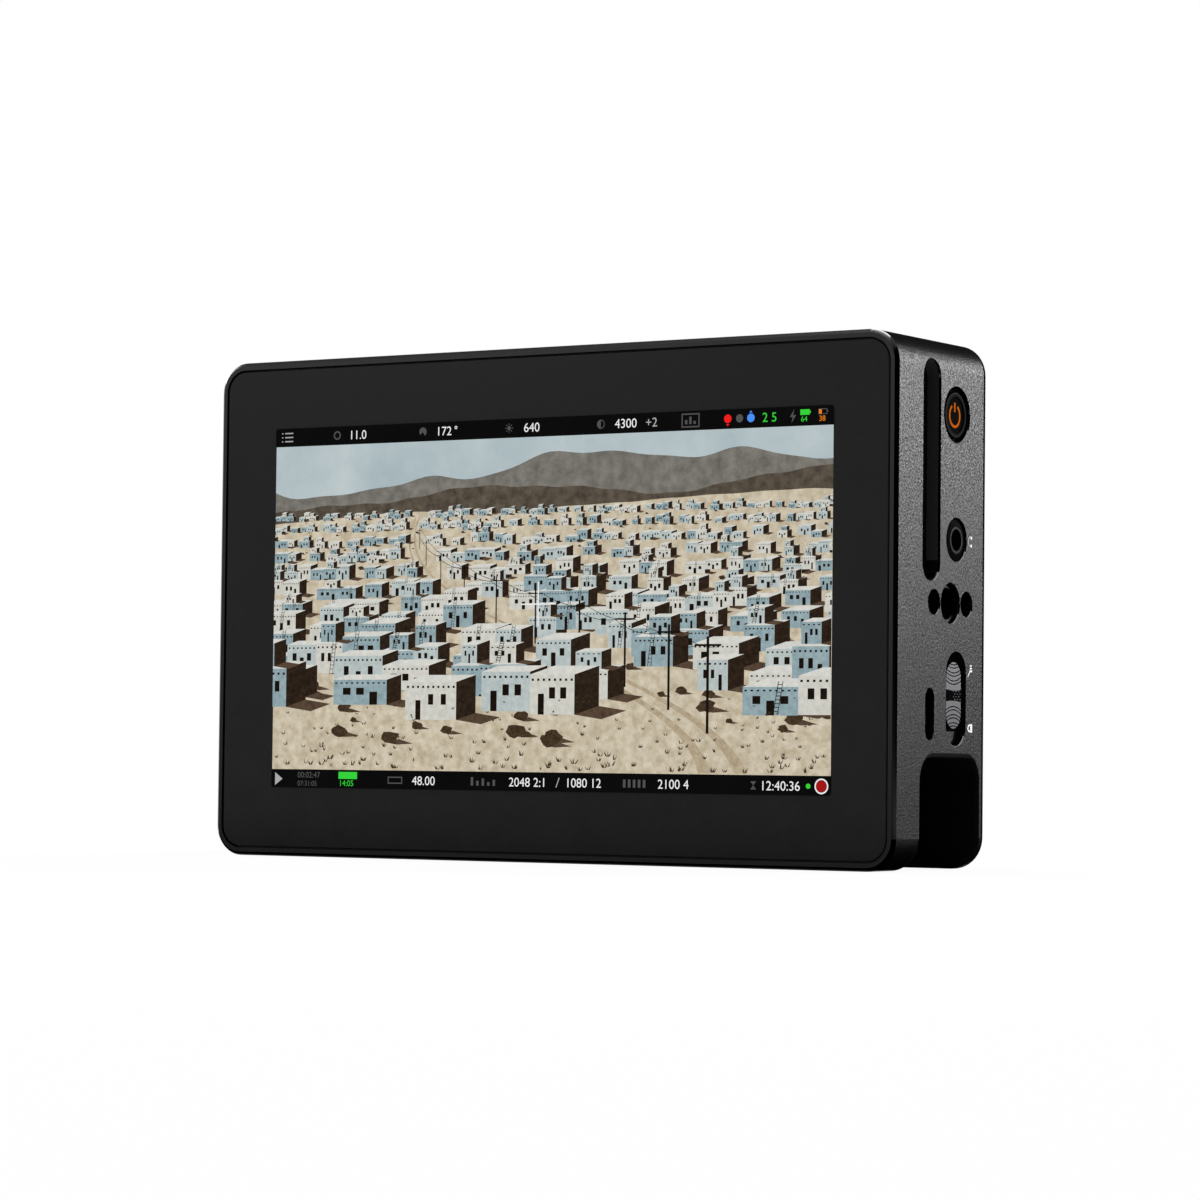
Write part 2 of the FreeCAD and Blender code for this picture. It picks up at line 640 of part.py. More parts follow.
def flex_low():
    """The lowest point of the display cable."""
    return MID_Z - PANEL_HEIGHT / 2 - FLEX_DROP


def display_flex():
    """The flat cable that folds from the panel's lower edge round to the main board."""
    low = flex_low()
    panel_edge = MID_Z - PANEL_HEIGHT / 2
    start = GLASS_BACK + PANEL_THICKNESS / 2
    end = (MID_PLATE_BACK + BOARD_FRONT) / 2
    half = FLEX_WIDTH / 2
    outer = box(-half, half, start, end + FLEX_THICKNESS, low, panel_edge)
    inner = box(-half, half, start + FLEX_THICKNESS, end, low + FLEX_THICKNESS, panel_edge)
    tail = box(-half, half, end, end + FLEX_THICKNESS, panel_edge, main_board_low() + STANDOFF_INSET)
    plug = box(-half, half, end + FLEX_THICKNESS, BOARD_FRONT, main_board_low(),
               main_board_low() + STANDOFF_INSET)
    return outer.cut(inner).fuse([tail, plug]).removeSplitter()


def main_board_low():
    """The lower edge of the main board, above the bays."""
    return BAY_BLOCK_TOP + BOARD_GAP


def main_board_high():
    """The upper edge of the main board, below the upper screw posts."""
    return TOP_INNER - POST_INSET - POST_RADIUS - BOARD_GAP


def main_board_screw_places():
    """The four screws of the main board."""
    low = main_board_low() + MAIN_BOARD_SCREW_INSET
    high = main_board_high() - MAIN_BOARD_SCREW_INSET
    wide = BOARD_EDGE - IO_BOARD_WIDTH
    return [(-wide, low), (wide, low), (-wide, high), (wide, high)]


def standoff_places():
    """The tall standoffs of the control board."""
    x = io_board_left() + STANDOFF_INSET
    low = SOCKET_BOARD_TOP + BOARD_GAP + STANDOFF_INSET
    high = main_board_high() - STANDOFF_INSET
    return [(x, low), (x, high)]


def mid_plate():
    """The plate that backs the display and carries the boards, with its standoffs."""
    plate = slab(CAVITY_WIDTH - 2 * MID_PLATE_GAP, CAVITY_HEIGHT - 2 * MID_PLATE_GAP,
                 CAVITY_RADIUS - MID_PLATE_GAP, MID_PLATE_FRONT, MID_PLATE_BACK)
    feet = [
        rod_y(MAIN_BOARD_STANDOFF_RADIUS, MID_PLATE_BACK, BOARD_FRONT, x, z)
        for x, z in main_board_screw_places()
    ]
    plate = plate.fuse(feet)
    window = box(-FLEX_WIDTH / 2 - FLEX_WINDOW_GAP, FLEX_WIDTH / 2 + FLEX_WINDOW_GAP,
                 MID_PLATE_FRONT - PAST, MID_PLATE_BACK + PAST,
                 flex_low() - FLEX_WINDOW_GAP, flex_low() + FLEX_THICKNESS + FLEX_WINDOW_GAP)
    holes = [screw_hole(x, z, MID_PLATE_FRONT - PAST, MID_PLATE_BACK + PAST) for x, z in POSTS]
    threads = [
        rod_y(SCREW_RADIUS, MID_PLATE_FRONT - PAST, BOARD_FRONT + PAST, x, z)
        for x, z in main_board_screw_places()
    ]
    return plate.cut([window] + holes + threads)


def mid_plate_screws():
    """The screws that hold the plate on the front ends of the posts."""
    return [screw(x, z, MID_PLATE_FRONT - SCREW_HEAD_HEIGHT, 1) for x, z in POSTS]


def main_board():
    """The main circuit board, with a tongue under the data socket."""
    low = main_board_low()
    board = box(-BOARD_EDGE, BOARD_EDGE, BOARD_FRONT, BOARD_BACK, low, main_board_high())
    tongue = box(BOARD_EDGE, INNER - BOARD_GAP, BOARD_FRONT, BOARD_BACK,
                 low, USB_Z + USB_SHELL_HEIGHT / 2 + BOARD_GAP)
    board = board.fuse(tongue).removeSplitter()
    holes = [screw_hole(x, z, BOARD_FRONT - PAST, BOARD_BACK + PAST) for x, z in main_board_screw_places()]
    passages = [
        rod_y(STANDOFF_RADIUS + BOARD_GAP, BOARD_FRONT - PAST, BOARD_BACK + PAST, x, z)
        for x, z in standoff_places()
    ]
    return board.cut(holes + passages)


def main_board_screws():
    """The screws of the main board, from behind, short ones."""
    pieces = []
    for x, z in main_board_screw_places():
        head = rod_y(SCREW_HEAD_RADIUS, BOARD_BACK, BOARD_BACK + SCREW_HEAD_HEIGHT, x, z)
        shank = rod_y(SCREW_RADIUS, MID_PLATE_BACK, BOARD_BACK, x, z)
        pieces.append(head.fuse(shank).removeSplitter())
    return pieces


def processor_z():
    """The height of the middle of the processor and its heat sink."""
    return FAN_Z


def sink_left():
    """The left end of the heat sink, clear of the small board over the left bay."""
    return BOARD_GAP - BAY_BLOCK_X


def processor_x():
    """The place of the processor, under the middle of its heat sink."""
    return sink_left() + SINK_WIDTH / 2


def video_processor():
    """The chip that drives the picture."""
    half = PROCESSOR_SIZE / 2
    x = processor_x()
    z = processor_z()
    return box(x - half, x + half, BOARD_BACK, BOARD_BACK + PROCESSOR_THICKNESS, z - half, z + half)


def heat_sink():
    """The finned heat sink on the processor, in the air that the fan draws."""
    seat = BOARD_BACK + PROCESSOR_THICKNESS
    left = sink_left()
    right = left + SINK_WIDTH
    low = processor_z() - SINK_HEIGHT / 2
    base = box(left, right, seat, seat + SINK_BASE, low, low + SINK_HEIGHT)
    pitch = (SINK_HEIGHT - SINK_FIN) / (SINK_FIN_COUNT - 1)
    crest = min(FAN_FRONT - SCREW_HEAD_HEIGHT, BRACKET_SEAT - BRACKET_THICKNESS) - SINK_FAN_GAP
    fins = []
    for number in range(SINK_FIN_COUNT):
        foot = low + number * pitch
        fins.append(box(left, right, seat + SINK_BASE, crest, foot, foot + SINK_FIN))
    return base.fuse(fins).removeSplitter()


def fan_screw_places():
    """The four corners where the fan is screwed to the rear cover."""
    reach = FAN_SIZE / 2 - FAN_SCREW_INSET
    return [(FAN_X + dx, FAN_Z + dz) for dx in (-reach, reach) for dz in (-reach, reach)]


def fan_frame():
    """The fan's square frame, with the motor base on four struts and the shaft."""
    frame = slab(FAN_SIZE, FAN_SIZE, FAN_SCREW_INSET, FAN_FRONT, COVER_FRONT, FAN_X, FAN_Z)
    frame = frame.cut(rod_y(FAN_BORE_RADIUS, FAN_FRONT - PAST, COVER_FRONT + PAST, FAN_X, FAN_Z))
    base_back = FAN_FRONT + FAN_BASE
    base = rod_y(FAN_HUB_RADIUS, FAN_FRONT, base_back, FAN_X, FAN_Z)
    reach = FAN_BORE_RADIUS + FAN_STRUT_ROOT
    across = box(FAN_X - reach, FAN_X + reach, FAN_FRONT, base_back,
                 FAN_Z - FAN_STRUT / 2, FAN_Z + FAN_STRUT / 2)
    upright = box(FAN_X - FAN_STRUT / 2, FAN_X + FAN_STRUT / 2, FAN_FRONT, base_back,
                  FAN_Z - reach, FAN_Z + reach)
    shaft = rod_y(FAN_SHAFT_RADIUS, base_back, COVER_FRONT - 2 * FAN_AXIAL_GAP, FAN_X, FAN_Z)
    frame = frame.fuse([base, across, upright, shaft]).removeSplitter()
    holes = [screw_hole(x, z, FAN_FRONT - PAST, COVER_FRONT + PAST) for x, z in fan_screw_places()]
    return frame.cut(holes)


def fan_blade(root_radius, tip_radius, middle_depth, length):
    """One blade: a ruled surface that twists from root to tip, standing up from the hub."""
    sections = []
    for radius, angle in ((root_radius, BLADE_ROOT_ANGLE), (tip_radius, BLADE_TIP_ANGLE)):
        chord = length / math.cos(math.radians(angle))
        half = chord / 2 - BLADE_THICKNESS
        corners = [
            Vector(BLADE_THICKNESS / 2, -half, radius),
            Vector(BLADE_THICKNESS / 2, half, radius),
            Vector(-BLADE_THICKNESS / 2, half, radius),
            Vector(-BLADE_THICKNESS / 2, -half, radius),
        ]
        outline = Part.makePolygon(corners + corners[:1])
        outline.rotate(Vector(0, 0, 0), ALONG_Z, angle)
        outline.translate(Vector(FAN_X, FRONT + middle_depth, FAN_Z))
        sections.append(outline)
    return Part.makeLoft(sections, True, True)


def fan_rotor():
    """The fan's hub and blades, turning on the shaft."""
    front = FAN_FRONT + FAN_BASE + FAN_AXIAL_GAP
    back = COVER_FRONT - FAN_AXIAL_GAP
    hub = rod_y(FAN_HUB_RADIUS, front, back, FAN_X, FAN_Z)
    tip = FAN_BORE_RADIUS - FAN_TIP_GAP
    blade = fan_blade(FAN_HUB_RADIUS - BLADE_THICKNESS, tip, (front + back) / 2, back - front)
    blades = []
    for number in range(BLADE_COUNT):
        copy = blade.copy()
        copy.rotate(Vector(FAN_X, 0, FAN_Z), ALONG_Y, number * 360 / BLADE_COUNT)
        blades.append(copy)
    rotor = hub.fuse(blades)
    rotor = rotor.common(rod_y(tip, front, back, FAN_X, FAN_Z))
    bore = rod_y(FAN_SHAFT_RADIUS + FAN_SHAFT_GAP, front - PAST, COVER_FRONT - FAN_AXIAL_GAP - FAN_BASE / 2,
                 FAN_X, FAN_Z)
    return rotor.cut(bore)


def fan_screws():
    """The screws that hold the fan on the rear cover."""
    pieces = []
    for x, z in fan_screw_places():
        head = rod_y(SCREW_HEAD_RADIUS, FAN_FRONT - SCREW_HEAD_HEIGHT, FAN_FRONT, x, z)
        shank = rod_y(SCREW_RADIUS, FAN_FRONT, COVER_FRONT + COVER_THICKNESS / 2, x, z)
        pieces.append(head.fuse(shank).removeSplitter())
    return pieces


def io_board_left():
    """The inner edge of the control board."""
    return IO_BOARD_X - IO_BOARD_WIDTH


def io_board():
    """The control board behind the right side, cut out round the mount boss and the video socket."""
    back = IO_BOARD_DEPTH + BOARD_THICKNESS
    board = box(io_board_left(), IO_BOARD_X, IO_BOARD_DEPTH, back, main_board_low(), main_board_high())
    boss_room = box(BOARD_EDGE, IO_BOARD_X + PAST, IO_BOARD_DEPTH - PAST, back + PAST,
                    MOUNT_Z - BOSS_WIDTH / 2 - BOARD_GAP, MOUNT_Z + BOSS_WIDTH / 2 + BOARD_GAP)
    socket_room = box(io_board_left() - PAST, socket_board_edge() + BOARD_GAP,
                      IO_BOARD_DEPTH - PAST, back + PAST, main_board_low() - PAST,
                      SOCKET_BOARD_TOP + BOARD_GAP)
    holes = [screw_hole(x, z, IO_BOARD_DEPTH - PAST, back + PAST) for x, z in standoff_places()]
    return board.cut([boss_room, socket_room] + holes)


def io_board_standoffs():
    """The tall standoffs that carry the control board through the main board."""
    pieces = []
    for x, z in standoff_places():
        post = rod_y(STANDOFF_RADIUS, MID_PLATE_BACK, IO_BOARD_DEPTH, x, z)
        thread = rod_y(SCREW_RADIUS, IO_BOARD_DEPTH - SCREW_LENGTH - PAST, IO_BOARD_DEPTH + PAST, x, z)
        pieces.append(post.cut(thread))
    return pieces


def io_board_screws():
    """The screws of the control board."""
    back = IO_BOARD_DEPTH + BOARD_THICKNESS
    return [screw(x, z, back + SCREW_HEAD_HEIGHT, -1) for x, z in standoff_places()]


def board_connector():
    """The stacking connector between the main board and the control board."""
    x = io_board_left() + 2 * STANDOFF_INSET + BOARD_GAP
    low = SOCKET_BOARD_TOP + CONNECTOR_ABOVE_SOCKETS
    return box(x, x + CONNECTOR_WIDTH, BOARD_BACK, IO_BOARD_DEPTH, low, low + CONNECTOR_HEIGHT)


def vent_screens():
    """The slit dust screens behind the two vent slots."""
    back = INNER - SCREEN_GAP
    low = VENT_LOW - SCREEN_GAP
    high = VENT_HIGH - SCREEN_GAP
    half = VENT_WIDTH / 2 + SCREEN_MARGIN
    screen = box(back - SCREEN_THICKNESS, back, VENT_DEPTH - half, VENT_DEPTH + half, low, high)
    slits = []
    z = VENT_LOW + SCREEN_PITCH / 2
    while z < VENT_HIGH - SCREEN_PITCH:
        slits.append(box(back - SCREEN_THICKNESS - PAST, back + PAST, VENT_DEPTH - VENT_WIDTH / 2,
                         VENT_DEPTH + VENT_WIDTH / 2, z, z + SCREEN_SLIT))
        z += SCREEN_PITCH
    return both_sides(screen.cut(slits))


def power_button():
    """The push button: a round cap with a raised rim, a retaining flange and a recess for its lens."""
    cap = rod_x(BUTTON_RADIUS, BUTTON_FLANGE_TOP, BUTTON_TOP, BUTTON_DEPTH, BUTTON_Z)
    rim = [edge for edge in cap.Edges if edge.BoundBox.XMin > BUTTON_TOP - TOUCH]
    cap = cap.makeFillet(BUTTON_ROUND, rim)
    flange = rod_x(BUTTON_FLANGE_RADIUS, BUTTON_BACK, BUTTON_FLANGE_TOP, BUTTON_DEPTH, BUTTON_Z)
    floor = BUTTON_TOP - BUTTON_LENS_SINK - BUTTON_LENS_THICKNESS
    recess = rod_x(BUTTON_LENS_RADIUS, floor, SIDE + PAST, BUTTON_DEPTH, BUTTON_Z)
    return cap.fuse(flange).removeSplitter().cut(recess)


def power_button_lens():
    """The smoked window in the button, lit from behind."""
    top = BUTTON_TOP - BUTTON_LENS_SINK
    return rod_x(BUTTON_LENS_RADIUS, top - BUTTON_LENS_THICKNESS, top, BUTTON_DEPTH, BUTTON_Z)


def power_button_seal():
    """The rubber sleeve that fills the gap between the button and its hole."""
    sleeve = rod_x(BUTTON_HOLE_RADIUS - SEAL_GAP, INNER, SIDE - SEAL_SINK, BUTTON_DEPTH, BUTTON_Z)
    flange = rod_x(BUTTON_FLANGE_RADIUS, SEAL_INNER, INNER, BUTTON_DEPTH, BUTTON_Z)
    bore = rod_x(BUTTON_RADIUS + SEAL_GAP, SEAL_INNER - PAST, SIDE, BUTTON_DEPTH, BUTTON_Z)
    return sleeve.fuse(flange).removeSplitter().cut(bore)


def power_switch_plunger():
    """The switch's plunger, carried on the back of the button."""
    return rod_x(PLUNGER_RADIUS, PLUNGER_END, BUTTON_BACK, BUTTON_DEPTH, BUTTON_Z)


def power_switch():
    """The push switch on the control board, with the bore that guides the plunger."""
    half = SWITCH_WIDTH / 2
    body = box(SWITCH_FACE - SWITCH_LENGTH, SWITCH_FACE, BUTTON_DEPTH - half, IO_BOARD_DEPTH,
               BUTTON_Z - half, BUTTON_Z + half)
    room = PLUNGER_END - BUTTON_TRAVEL - BUTTON_GAP
    return body.cut(rod_x(PLUNGER_RADIUS + PLUNGER_GAP, room, SWITCH_FACE + PAST, BUTTON_DEPTH, BUTTON_Z))


def headphone_jack():
    """The headphone socket: a round nose in the side wall and a body on the control board."""
    front = SIDE - JACK_SINK
    shoulder = INNER - BOARD_GAP
    half = JACK_BODY_WIDTH / 2
    rim = front - JACK_NOSE_RISE
    nose = rod_x(JACK_HOLE_RADIUS - JACK_NOSE_GAP, shoulder, rim, JACK_DEPTH, JACK_Z)
    dome = Part.makeCone(JACK_HOLE_RADIUS - JACK_NOSE_GAP, JACK_RING_RADIUS + JACK_RING_WALL, JACK_NOSE_RISE,
                         Vector(rim, FRONT + JACK_DEPTH, JACK_Z), ALONG_X)
    body = box(shoulder - JACK_BODY_LENGTH, shoulder, JACK_DEPTH - half, IO_BOARD_DEPTH,
               JACK_Z - half, JACK_Z + half)
    bore = rod_x(JACK_BORE_RADIUS, front - JACK_BORE_LENGTH, SIDE + PAST, JACK_DEPTH, JACK_Z)
    seat = rod_x(JACK_RING_RADIUS, front - JACK_RING_LENGTH, SIDE + PAST, JACK_DEPTH, JACK_Z)
    return body.fuse([nose, dome]).removeSplitter().cut([bore, seat])


def headphone_jack_ring():
    """The bright ring in the mouth of the headphone socket."""
    front = SIDE - JACK_SINK
    ring = rod_x(JACK_RING_RADIUS, front - JACK_RING_LENGTH, front, JACK_DEPTH, JACK_Z)
    return ring.cut(rod_x(JACK_BORE_RADIUS, INNER - PAST, SIDE, JACK_DEPTH, JACK_Z))


def usb_socket_shell():
    """The drawn steel shell of the data socket, flat on the main board."""
    back = USB_FRONT - USB_SHELL_LENGTH
    shell = slot_x(USB_SHELL_WIDTH, USB_SHELL_HEIGHT, back, USB_FRONT, USB_DEPTH, USB_Z)
    thin = 2 * USB_SHELL_WALL
    room = slot_x(USB_SHELL_WIDTH - thin, USB_SHELL_HEIGHT - thin, back + USB_SHELL_WALL,
                  USB_FRONT + PAST, USB_DEPTH, USB_Z)
    return shell.cut(room)


def usb_socket_tongue():
    """The contact tongue in the data socket."""
    root = USB_FRONT - USB_SHELL_LENGTH + USB_SHELL_WALL
    half = USB_TONGUE_THICKNESS / 2
    return box(root, root + USB_TONGUE_LENGTH, USB_DEPTH - half, USB_DEPTH + half,
               USB_Z - USB_TONGUE_WIDTH / 2, USB_Z + USB_TONGUE_WIDTH / 2)


def knob_grooves(way):
    """The arched grooves that leave grip ribs on one half of the slider, bowed towards its middle."""
    floor = KNOB_TOP - GROOVE_DEPTH
    grooves = []
    for number in range(RIB_COUNT):
        apex = KNOB_Z + way * (RIB_FIRST + number * RIB_PITCH)
        centre = apex + way * RIB_ARC_RADIUS
        for inner in (RIB_ARC_RADIUS + RIB_WIDTH / 2, RIB_ARC_RADIUS - RIB_WIDTH / 2 - GROOVE_WIDTH):
            disc = rod_x(inner + GROOVE_WIDTH, floor, SIDE, LOCK_DEPTH, centre)
            core = rod_x(inner, floor, SIDE, LOCK_DEPTH, centre)
            near = box(floor, SIDE, LOCK_DEPTH - KNOB_WIDTH, LOCK_DEPTH + KNOB_WIDTH,
                       KNOB_Z + min(0, way) * KNOB_HEIGHT, KNOB_Z + max(0, way) * KNOB_HEIGHT)
            grooves.append(disc.cut(core).common(near))
    return grooves


def grip_pad():
    """The raised pad across the slider's middle, between two arcs that bow towards each other."""
    reach = GRIP_HALF_HEIGHT + GRIP_ARC_RADIUS
    blank = slot_x(KNOB_WIDTH, KNOB_HEIGHT, KNOB_TOP, KNOB_TOP + GRIP_RISE, LOCK_DEPTH, KNOB_Z)
    band = blank.common(box(KNOB_TOP, SIDE, LOCK_DEPTH - KNOB_WIDTH, LOCK_DEPTH + KNOB_WIDTH,
                            KNOB_Z - RIB_FIRST, KNOB_Z + RIB_FIRST))
    sides = [
        rod_x(GRIP_ARC_RADIUS, KNOB_TOP - PAST, SIDE, LOCK_DEPTH, KNOB_Z + way * reach)
        for way in (-1, 1)
    ]
    return band.cut(sides)


def touch_lock_knob():
    """The ribbed thumb slider, with the stem that passes through the wall."""
    plate = slot_x(KNOB_WIDTH, KNOB_HEIGHT, KNOB_BASE, KNOB_TOP, LOCK_DEPTH, KNOB_Z)
    stem = box(ACTUATOR_TOP, KNOB_BASE, LOCK_DEPTH - STEM_WIDTH / 2, LOCK_DEPTH + STEM_WIDTH / 2,
               KNOB_Z - STEM_HEIGHT / 2, KNOB_Z + STEM_HEIGHT / 2)
    return plate.cut(knob_grooves(-1) + knob_grooves(1)).fuse([stem, grip_pad()]).removeSplitter()


def touch_lock_actuator():
    """The slide behind the wall, with the pin that works the switch."""
    half = ACTUATOR_WIDTH / 2
    slide = box(ACTUATOR_BACK, ACTUATOR_TOP, LOCK_DEPTH - half, LOCK_DEPTH + half,
                KNOB_Z - ACTUATOR_HEIGHT / 2, KNOB_Z + ACTUATOR_HEIGHT / 2)
    pin_half = ACTUATOR_PIN / 2
    pin = box(LOCK_SWITCH_FACE - ACTUATOR_PIN, ACTUATOR_BACK, LOCK_DEPTH - pin_half,
              LOCK_DEPTH + pin_half, KNOB_Z - pin_half, KNOB_Z + pin_half)
    return slide.fuse(pin).removeSplitter()


def touch_lock_switch():
    """The slide switch on the control board, with the slot that the pin runs in."""
    middle = KNOB_Z - LOCK_TRAVEL / 2
    half = LOCK_SWITCH_HEIGHT / 2
    body = box(LOCK_SWITCH_BACK, LOCK_SWITCH_FACE, LOCK_DEPTH - ACTUATOR_WIDTH / 2,
               IO_BOARD_DEPTH, middle - half, middle + half)
    pin_half = ACTUATOR_PIN / 2 + SLIDE_GAP
    slot = box(LOCK_SWITCH_FACE - ACTUATOR_PIN - SLIDE_GAP, LOCK_SWITCH_FACE + PAST, LOCK_DEPTH - pin_half,
               LOCK_DEPTH + pin_half, KNOB_Z - LOCK_TRAVEL - pin_half, KNOB_Z + pin_half)
    return body.cut(slot)


def socket_board_edge():
    """The outer edge of the small board above a bay."""
    return LOCK_SWITCH_BACK - BOARD_GAP


def socket_board():
    """A small level board above a bay, fed from the main board, that carries a downward socket."""
    return box(BAY_BLOCK_X, socket_board_edge(), BOARD_BACK, IO_BOARD_DEPTH + BOARD_THICKNESS,
               SOCKET_TOP, SOCKET_BOARD_TOP)


def hdmi_blank(shrink, low, high):
    """The outline of the video socket, with two corners bevelled, between two heights."""
    half_x = HDMI_HEIGHT / 2 - shrink
    half_y = HDMI_WIDTH / 2 - shrink
    block = box(SOCKET_X - half_x, SOCKET_X + half_x, BAY_MID_DEPTH - half_y, BAY_MID_DEPTH + half_y,
                low, high)
    outer_edges = [edge for edge in edges_along(block, ALONG_Z) if edge.CenterOfMass.x > SOCKET_X]
    return block.makeChamfer(HDMI_BEVEL, outer_edges)


def hdmi_socket_shell():
    """The folded shell of the video socket, open downwards into the right bay."""
    shell = hdmi_blank(0, SOCKET_LOW, SOCKET_TOP)
    return shell.cut(hdmi_blank(HDMI_WALL, SOCKET_LOW - PAST, SOCKET_TOP - HDMI_WALL))


def hdmi_socket_tongue():
    """The contact tongue of the video socket."""
    half = HDMI_TONGUE_THICKNESS / 2
    root = SOCKET_TOP - HDMI_WALL
    return box(SOCKET_X - half, SOCKET_X + half, BAY_MID_DEPTH - HDMI_TONGUE_WIDTH / 2,
               BAY_MID_DEPTH + HDMI_TONGUE_WIDTH / 2, root - HDMI_TONGUE_LENGTH, root)


def power_inlet():
    """The power socket, open downwards into the left bay."""
    half = INLET_BODY / 2
    body = box(-SOCKET_X - half, -SOCKET_X + half, BAY_MID_DEPTH - half, BAY_MID_DEPTH + half,
               BAY_BLOCK_TOP, SOCKET_TOP)
    nose = rod_z(INLET_NOSE_RADIUS, SOCKET_LOW, BAY_BLOCK_TOP, -SOCKET_X, BAY_MID_DEPTH)
    bore = rod_z(INLET_BORE_RADIUS, SOCKET_LOW - PAST, SOCKET_LOW + INLET_BORE_LENGTH,
                 -SOCKET_X, BAY_MID_DEPTH)
    return body.fuse(nose).removeSplitter().cut(bore)


def power_inlet_pin():
    """The centre pin of the power socket."""
    root = SOCKET_LOW + INLET_BORE_LENGTH
    return rod_z(INLET_PIN_RADIUS, root - INLET_PIN_LENGTH, root, -SOCKET_X, BAY_MID_DEPTH)


def thread_inserts():
    """The steel thread inserts of the right, left and bottom mounts."""
    return [thread_insert(start, outward) for start, outward, across in MOUNTS]


def grille(x):
    """A round field of upright slots in the rear cover."""
    count = int(GRILLE_RADIUS / GRILLE_PITCH)
    slots = []
    for number in range(-count, count + 1):
        offset = number * GRILLE_PITCH
        length = 2 * math.sqrt(GRILLE_RADIUS ** 2 - offset ** 2)
        slots.append(slot_y(GRILLE_SLOT, length, COVER_FRONT - PAST, BODY_DEPTH + PAST, x + offset, FAN_Z))
    return slots


def plate_screw_places():
    """The four corners where the battery plate is screwed to the rear cover."""
    dx = PLATE_WIDTH / 2 - PLATE_SCREW_INSET
    dz = PLATE_HEIGHT / 2 - PLATE_SCREW_INSET
    return [(x, MID_Z + z) for x in (-dx, dx) for z in (-dz, dz)]


def latch_window(depth0, depth1):
    """The guide for the latch through the plate and the cover."""
    half_x = LATCH_WIDTH / 2 + LATCH_GAP
    half_z = LATCH_HEIGHT / 2 + LATCH_GAP
    return box(-half_x, half_x, depth0, depth1, LATCH_Z - half_z, LATCH_Z + half_z)


def contact_places():
    """The places of the battery contacts across the plate."""
    middle = (CONTACT_COUNT - 1) / 2
    return [(number - middle) * CONTACT_PITCH for number in range(CONTACT_COUNT)]


def contact_slot(x, depth0, depth1):
    """The passage of one contact through the plate and the cover."""
    half = CONTACT_THICKNESS / 2
    return box(x - half, x + half, depth0, depth1, CONTACT_Z - CONTACT_ROOT / 2, CONTACT_Z + CONTACT_ROOT / 2)


def rear_cover():
    """The plate that closes the back, with two grilles and the pocket for the battery plate."""
    cover = slab(CAVITY_WIDTH - 2 * COVER_GAP, CAVITY_HEIGHT - 2 * COVER_GAP, CAVITY_RADIUS - COVER_GAP,
                 COVER_FRONT, BODY_DEPTH)
    corner = box(BAY_BLOCK_X - COVER_GAP, SIDE, COVER_FRONT - PAST, BODY_DEPTH + PAST,
                 0, BAY_BLOCK_TOP + COVER_GAP)
    pocket = slab(PLATE_WIDTH + 2 * PLATE_GAP, PLATE_HEIGHT + 2 * PLATE_GAP, PLATE_CORNER + PLATE_GAP,
                  BODY_DEPTH - PLATE_POCKET, BODY_DEPTH + PAST)
    cuts = both_sides(corner) + [pocket] + grille(FAN_X) + grille(-FAN_X)
    for x, z in POSTS:
        cuts.append(screw_hole(x, z, COVER_FRONT - PAST, BODY_DEPTH + PAST))
        cuts.append(head_hole(x, z, BODY_DEPTH))
    for x, z in fan_screw_places():
        cuts.append(rod_y(SCREW_RADIUS, COVER_FRONT - PAST, COVER_FRONT + COVER_THICKNESS / 2, x, z))
    for x, z in plate_screw_places():
        cuts.append(rod_y(SCREW_RADIUS, COVER_FRONT - PAST, BODY_DEPTH + PAST, x, z))
    cuts.append(latch_window(COVER_FRONT - PAST, BODY_DEPTH + PAST))
    cuts.extend(contact_slot(x, COVER_FRONT - PAST, BODY_DEPTH + PAST) for x in contact_places())
    return cover.cut(cuts)


def rear_cover_screws():
    """The screws that hold the rear cover on the posts."""
    return [screw(x, z, BODY_DEPTH, -1) for x, z in POSTS]


def battery_hook(side, z):
    """One hook of the battery plate: a web with a lip that reaches outwards."""
    low = z - HOOK_LENGTH / 2
    high = z + HOOK_LENGTH / 2
    web = box(HOOK_X, HOOK_X + HOOK_WEB, PLATE_BACK, PLATE_BACK + HOOK_HEIGHT, low, high)
    lip = box(HOOK_X, HOOK_X + HOOK_WEB + HOOK_REACH, PLATE_BACK + HOOK_RISE, PLATE_BACK + HOOK_HEIGHT,
              low, high)
    hook = web.fuse(lip).removeSplitter()
    return hook if side > 0 else mirrored(hook)


def battery_plate():
    """The moulded plate that a slide-on battery hooks on to."""
    plate = slab(PLATE_WIDTH, PLATE_HEIGHT, PLATE_CORNER, BODY_DEPTH - PLATE_POCKET, PLATE_BACK)
    hooks = [battery_hook(side, MID_Z + way * HOOK_Z) for side in (-1, 1) for way in (-1, 1)]
    half = CONTACT_BLOCK_WIDTH / 2
    block = box(-half, half, PLATE_BACK, PLATE_BACK + HOOK_HEIGHT,
                CONTACT_Z - CONTACT_BLOCK_HEIGHT / 2, CONTACT_Z + CONTACT_BLOCK_HEIGHT / 2)
    plate = plate.fuse(hooks + [block]).removeSplitter()
    cuts = [latch_window(BODY_DEPTH - PLATE_POCKET - PAST, PLATE_BACK + PAST)]
    for x, z in plate_screw_places():
        cuts.append(screw_hole(x, z, BODY_DEPTH - PLATE_POCKET - PAST, PLATE_BACK + PAST))
        cuts.append(head_hole(x, z, PLATE_BACK))
    plate = plate.cut(cuts)
    return plate.cut(battery_contacts())


def battery_plate_screws():
    """The screws of the battery plate, through to the inside of the cover."""
    pieces = []
    for x, z in plate_screw_places():
        head = rod_y(SCREW_HEAD_RADIUS, PLATE_BACK - SCREW_HEAD_HEIGHT, PLATE_BACK, x, z)
        shank = rod_y(SCREW_RADIUS, COVER_FRONT, PLATE_BACK - SCREW_HEAD_HEIGHT, x, z)
        pieces.append(head.fuse(shank).removeSplitter())
    return pieces


